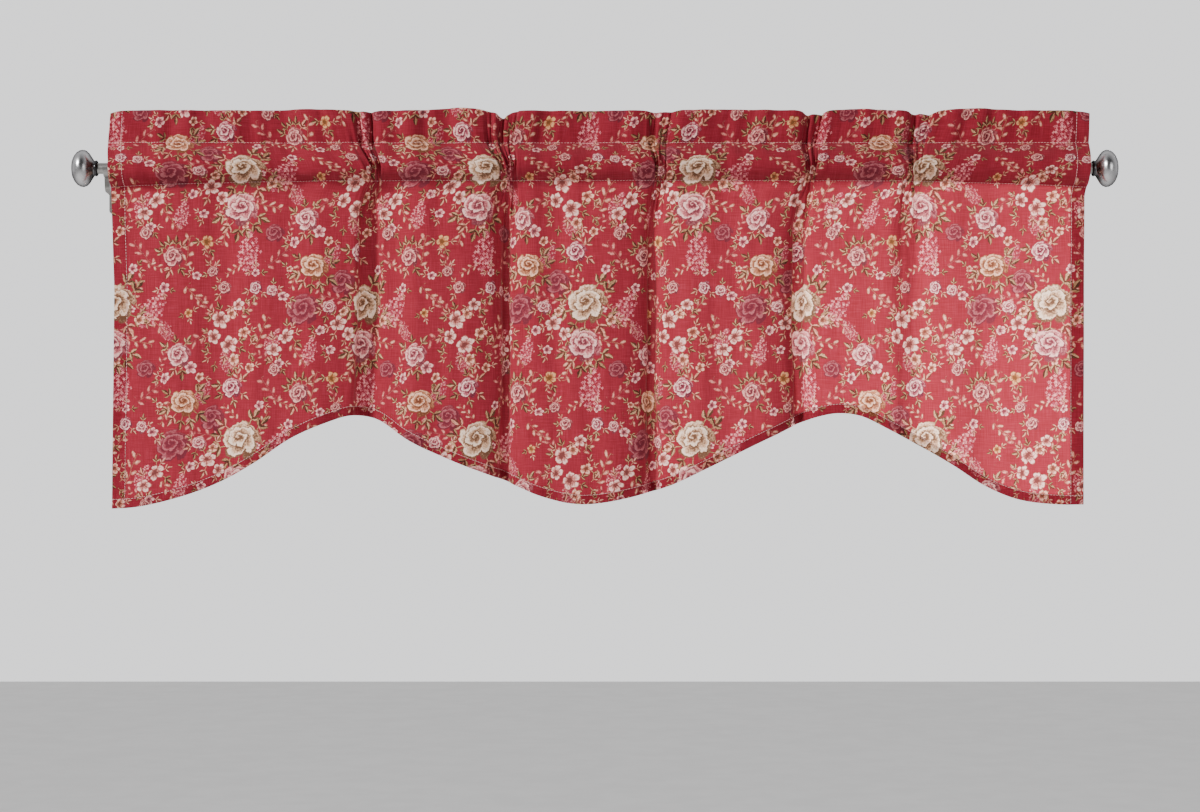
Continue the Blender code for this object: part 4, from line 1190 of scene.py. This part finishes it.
# Satin nickel: drawn lines along the rod that spread the reflections, warm grey, a little duller in
# patches
nickel, tree = new_tree("satin_nickel")
place = add(tree, "TexCoord", out=3)
drawn = add(tree, "VectorMath MULTIPLY", (place, (30.0, 2200.0, 2200.0)))
lines_of_drawing = add(tree, "TexNoise", {"Vector": drawn, "Scale": 1.0, "Detail": 2.0})
dull = add(tree, "TexNoise", {"Vector": place, "Scale": 60.0, "Detail": 3.0})
half_dull = add(tree, "Math MULTIPLY", (dull, 0.5))
mixed = add(tree, "Math MULTIPLY_ADD", (lines_of_drawing, 0.5, half_dull))
metal = add(tree, "ValToRGB", (mixed,))
set_ramp(metal, ((0.30, "#757371"), (0.55, "#979592"), (0.75, "#ABA9A6")))
gloss = add(tree, "MapRange", (mixed, 0.3, 0.7, 0.48, 0.34))
relief = add(tree, "Bump", {"Strength": 0.15, "Distance": 0.0001, "Height": lines_of_drawing})
finish = {"Metallic": 1.0, "Roughness": gloss, "Normal": relief}
bar = add(tree, "BsdfPrincipled", {"Base Color": metal, **finish})
add(tree, "OutputMaterial", (bar,))
for name in ("rod", "bracket_left", "bracket_right"):
    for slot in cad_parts[name].material_slots:
        slot.material = nickel

# ---------------------------------------------------------------- room and light

FLOOR_Z = -2.1
FLOOR_REACH = 14.0
floor_corners = [(x * FLOOR_REACH, y * FLOOR_REACH, FLOOR_Z) for x, y in ((-1, -1), (1, -1), (1, 1), (-1, 1))]
floor_mesh = bpy.data.meshes.new("floor")
floor_mesh.from_pydata(floor_corners, [], [(0, 1, 2, 3)])
# Matt pale paint with the faintest mottle, so that the ground reads as a surface
floor_material, tree = new_tree("matt_floor_paint")
mottle = add(tree, "TexNoise", {"Vector": add(tree, "TexCoord", out=3), "Scale": 6.0, "Detail": 3.0})
paint_colour = add(tree, "ValToRGB", (mottle,))
set_ramp(paint_colour, ((0.35, "#E9E8E7"), (0.65, "#EEEDEC")))
matt = add(tree, "BsdfPrincipled", {"Base Color": paint_colour, "Roughness": 0.85})
add(tree, "OutputMaterial", (matt,))
floor = bpy.data.objects.new("floor", floor_mesh)
floor_mesh.materials.append(floor_material)
bpy.context.scene.collection.objects.link(floor)

# The studio's light is even from side to side, and far stronger from the wall's side than the room's
world = bpy.data.worlds.new("studio")
world.use_nodes = True
tree = world.node_tree
away = add(tree, "SeparateXYZ", (add(tree, "TexCoord"),), out=1)
strength = add(tree, "MapRange", (away, -0.6, 0.6, 0.08, 1.90))
tree.nodes["Background"].inputs["Color"].default_value = linear("#DDDDDE")
tree.links.new(strength, tree.nodes["Background"].inputs["Strength"])
bpy.context.scene.world = world

# Soft lights: name, place, what it points at, width and height, power, and whether metal mirrors it.
# The two windows stand behind the cloth, and their light comes through it.
LIGHTS = table(
    "name place aim size power mirrored",
    ("key", (-2.3, -2.1, 1.6), (0.55, -0.08, -0.15), (0.7, 0.7), 212.0, True),
    ("fill", (2.0, -1.5, 0.2), (0.9, -0.08, -0.15), (0.9, 0.9), 10.0, True),
    ("window_left", (0.02, 0.30, -0.27), (0.10, -0.08, -0.22), (0.35, 0.45), 3.0, False),
    ("window_right", (1.12, 0.30, -0.27), (1.06, -0.08, -0.22), (0.35, 0.45), 19.0, False),
)
for row in LIGHTS:
    data = bpy.data.lights.new(row["name"], "AREA")
    data.shape = "RECTANGLE"
    data.size, data.size_y = row["size"]
    data.energy = row["power"]
    light = bpy.data.objects.new(row["name"], data)
    light.location = row["place"]
    aim = mathutils.Vector(row["aim"]) - mathutils.Vector(row["place"])
    light.rotation_euler = aim.to_track_quat("-Z", "Y").to_euler()
    light.visible_camera = False
    light.visible_glossy = row["mirrored"]
    bpy.context.scene.collection.objects.link(light)
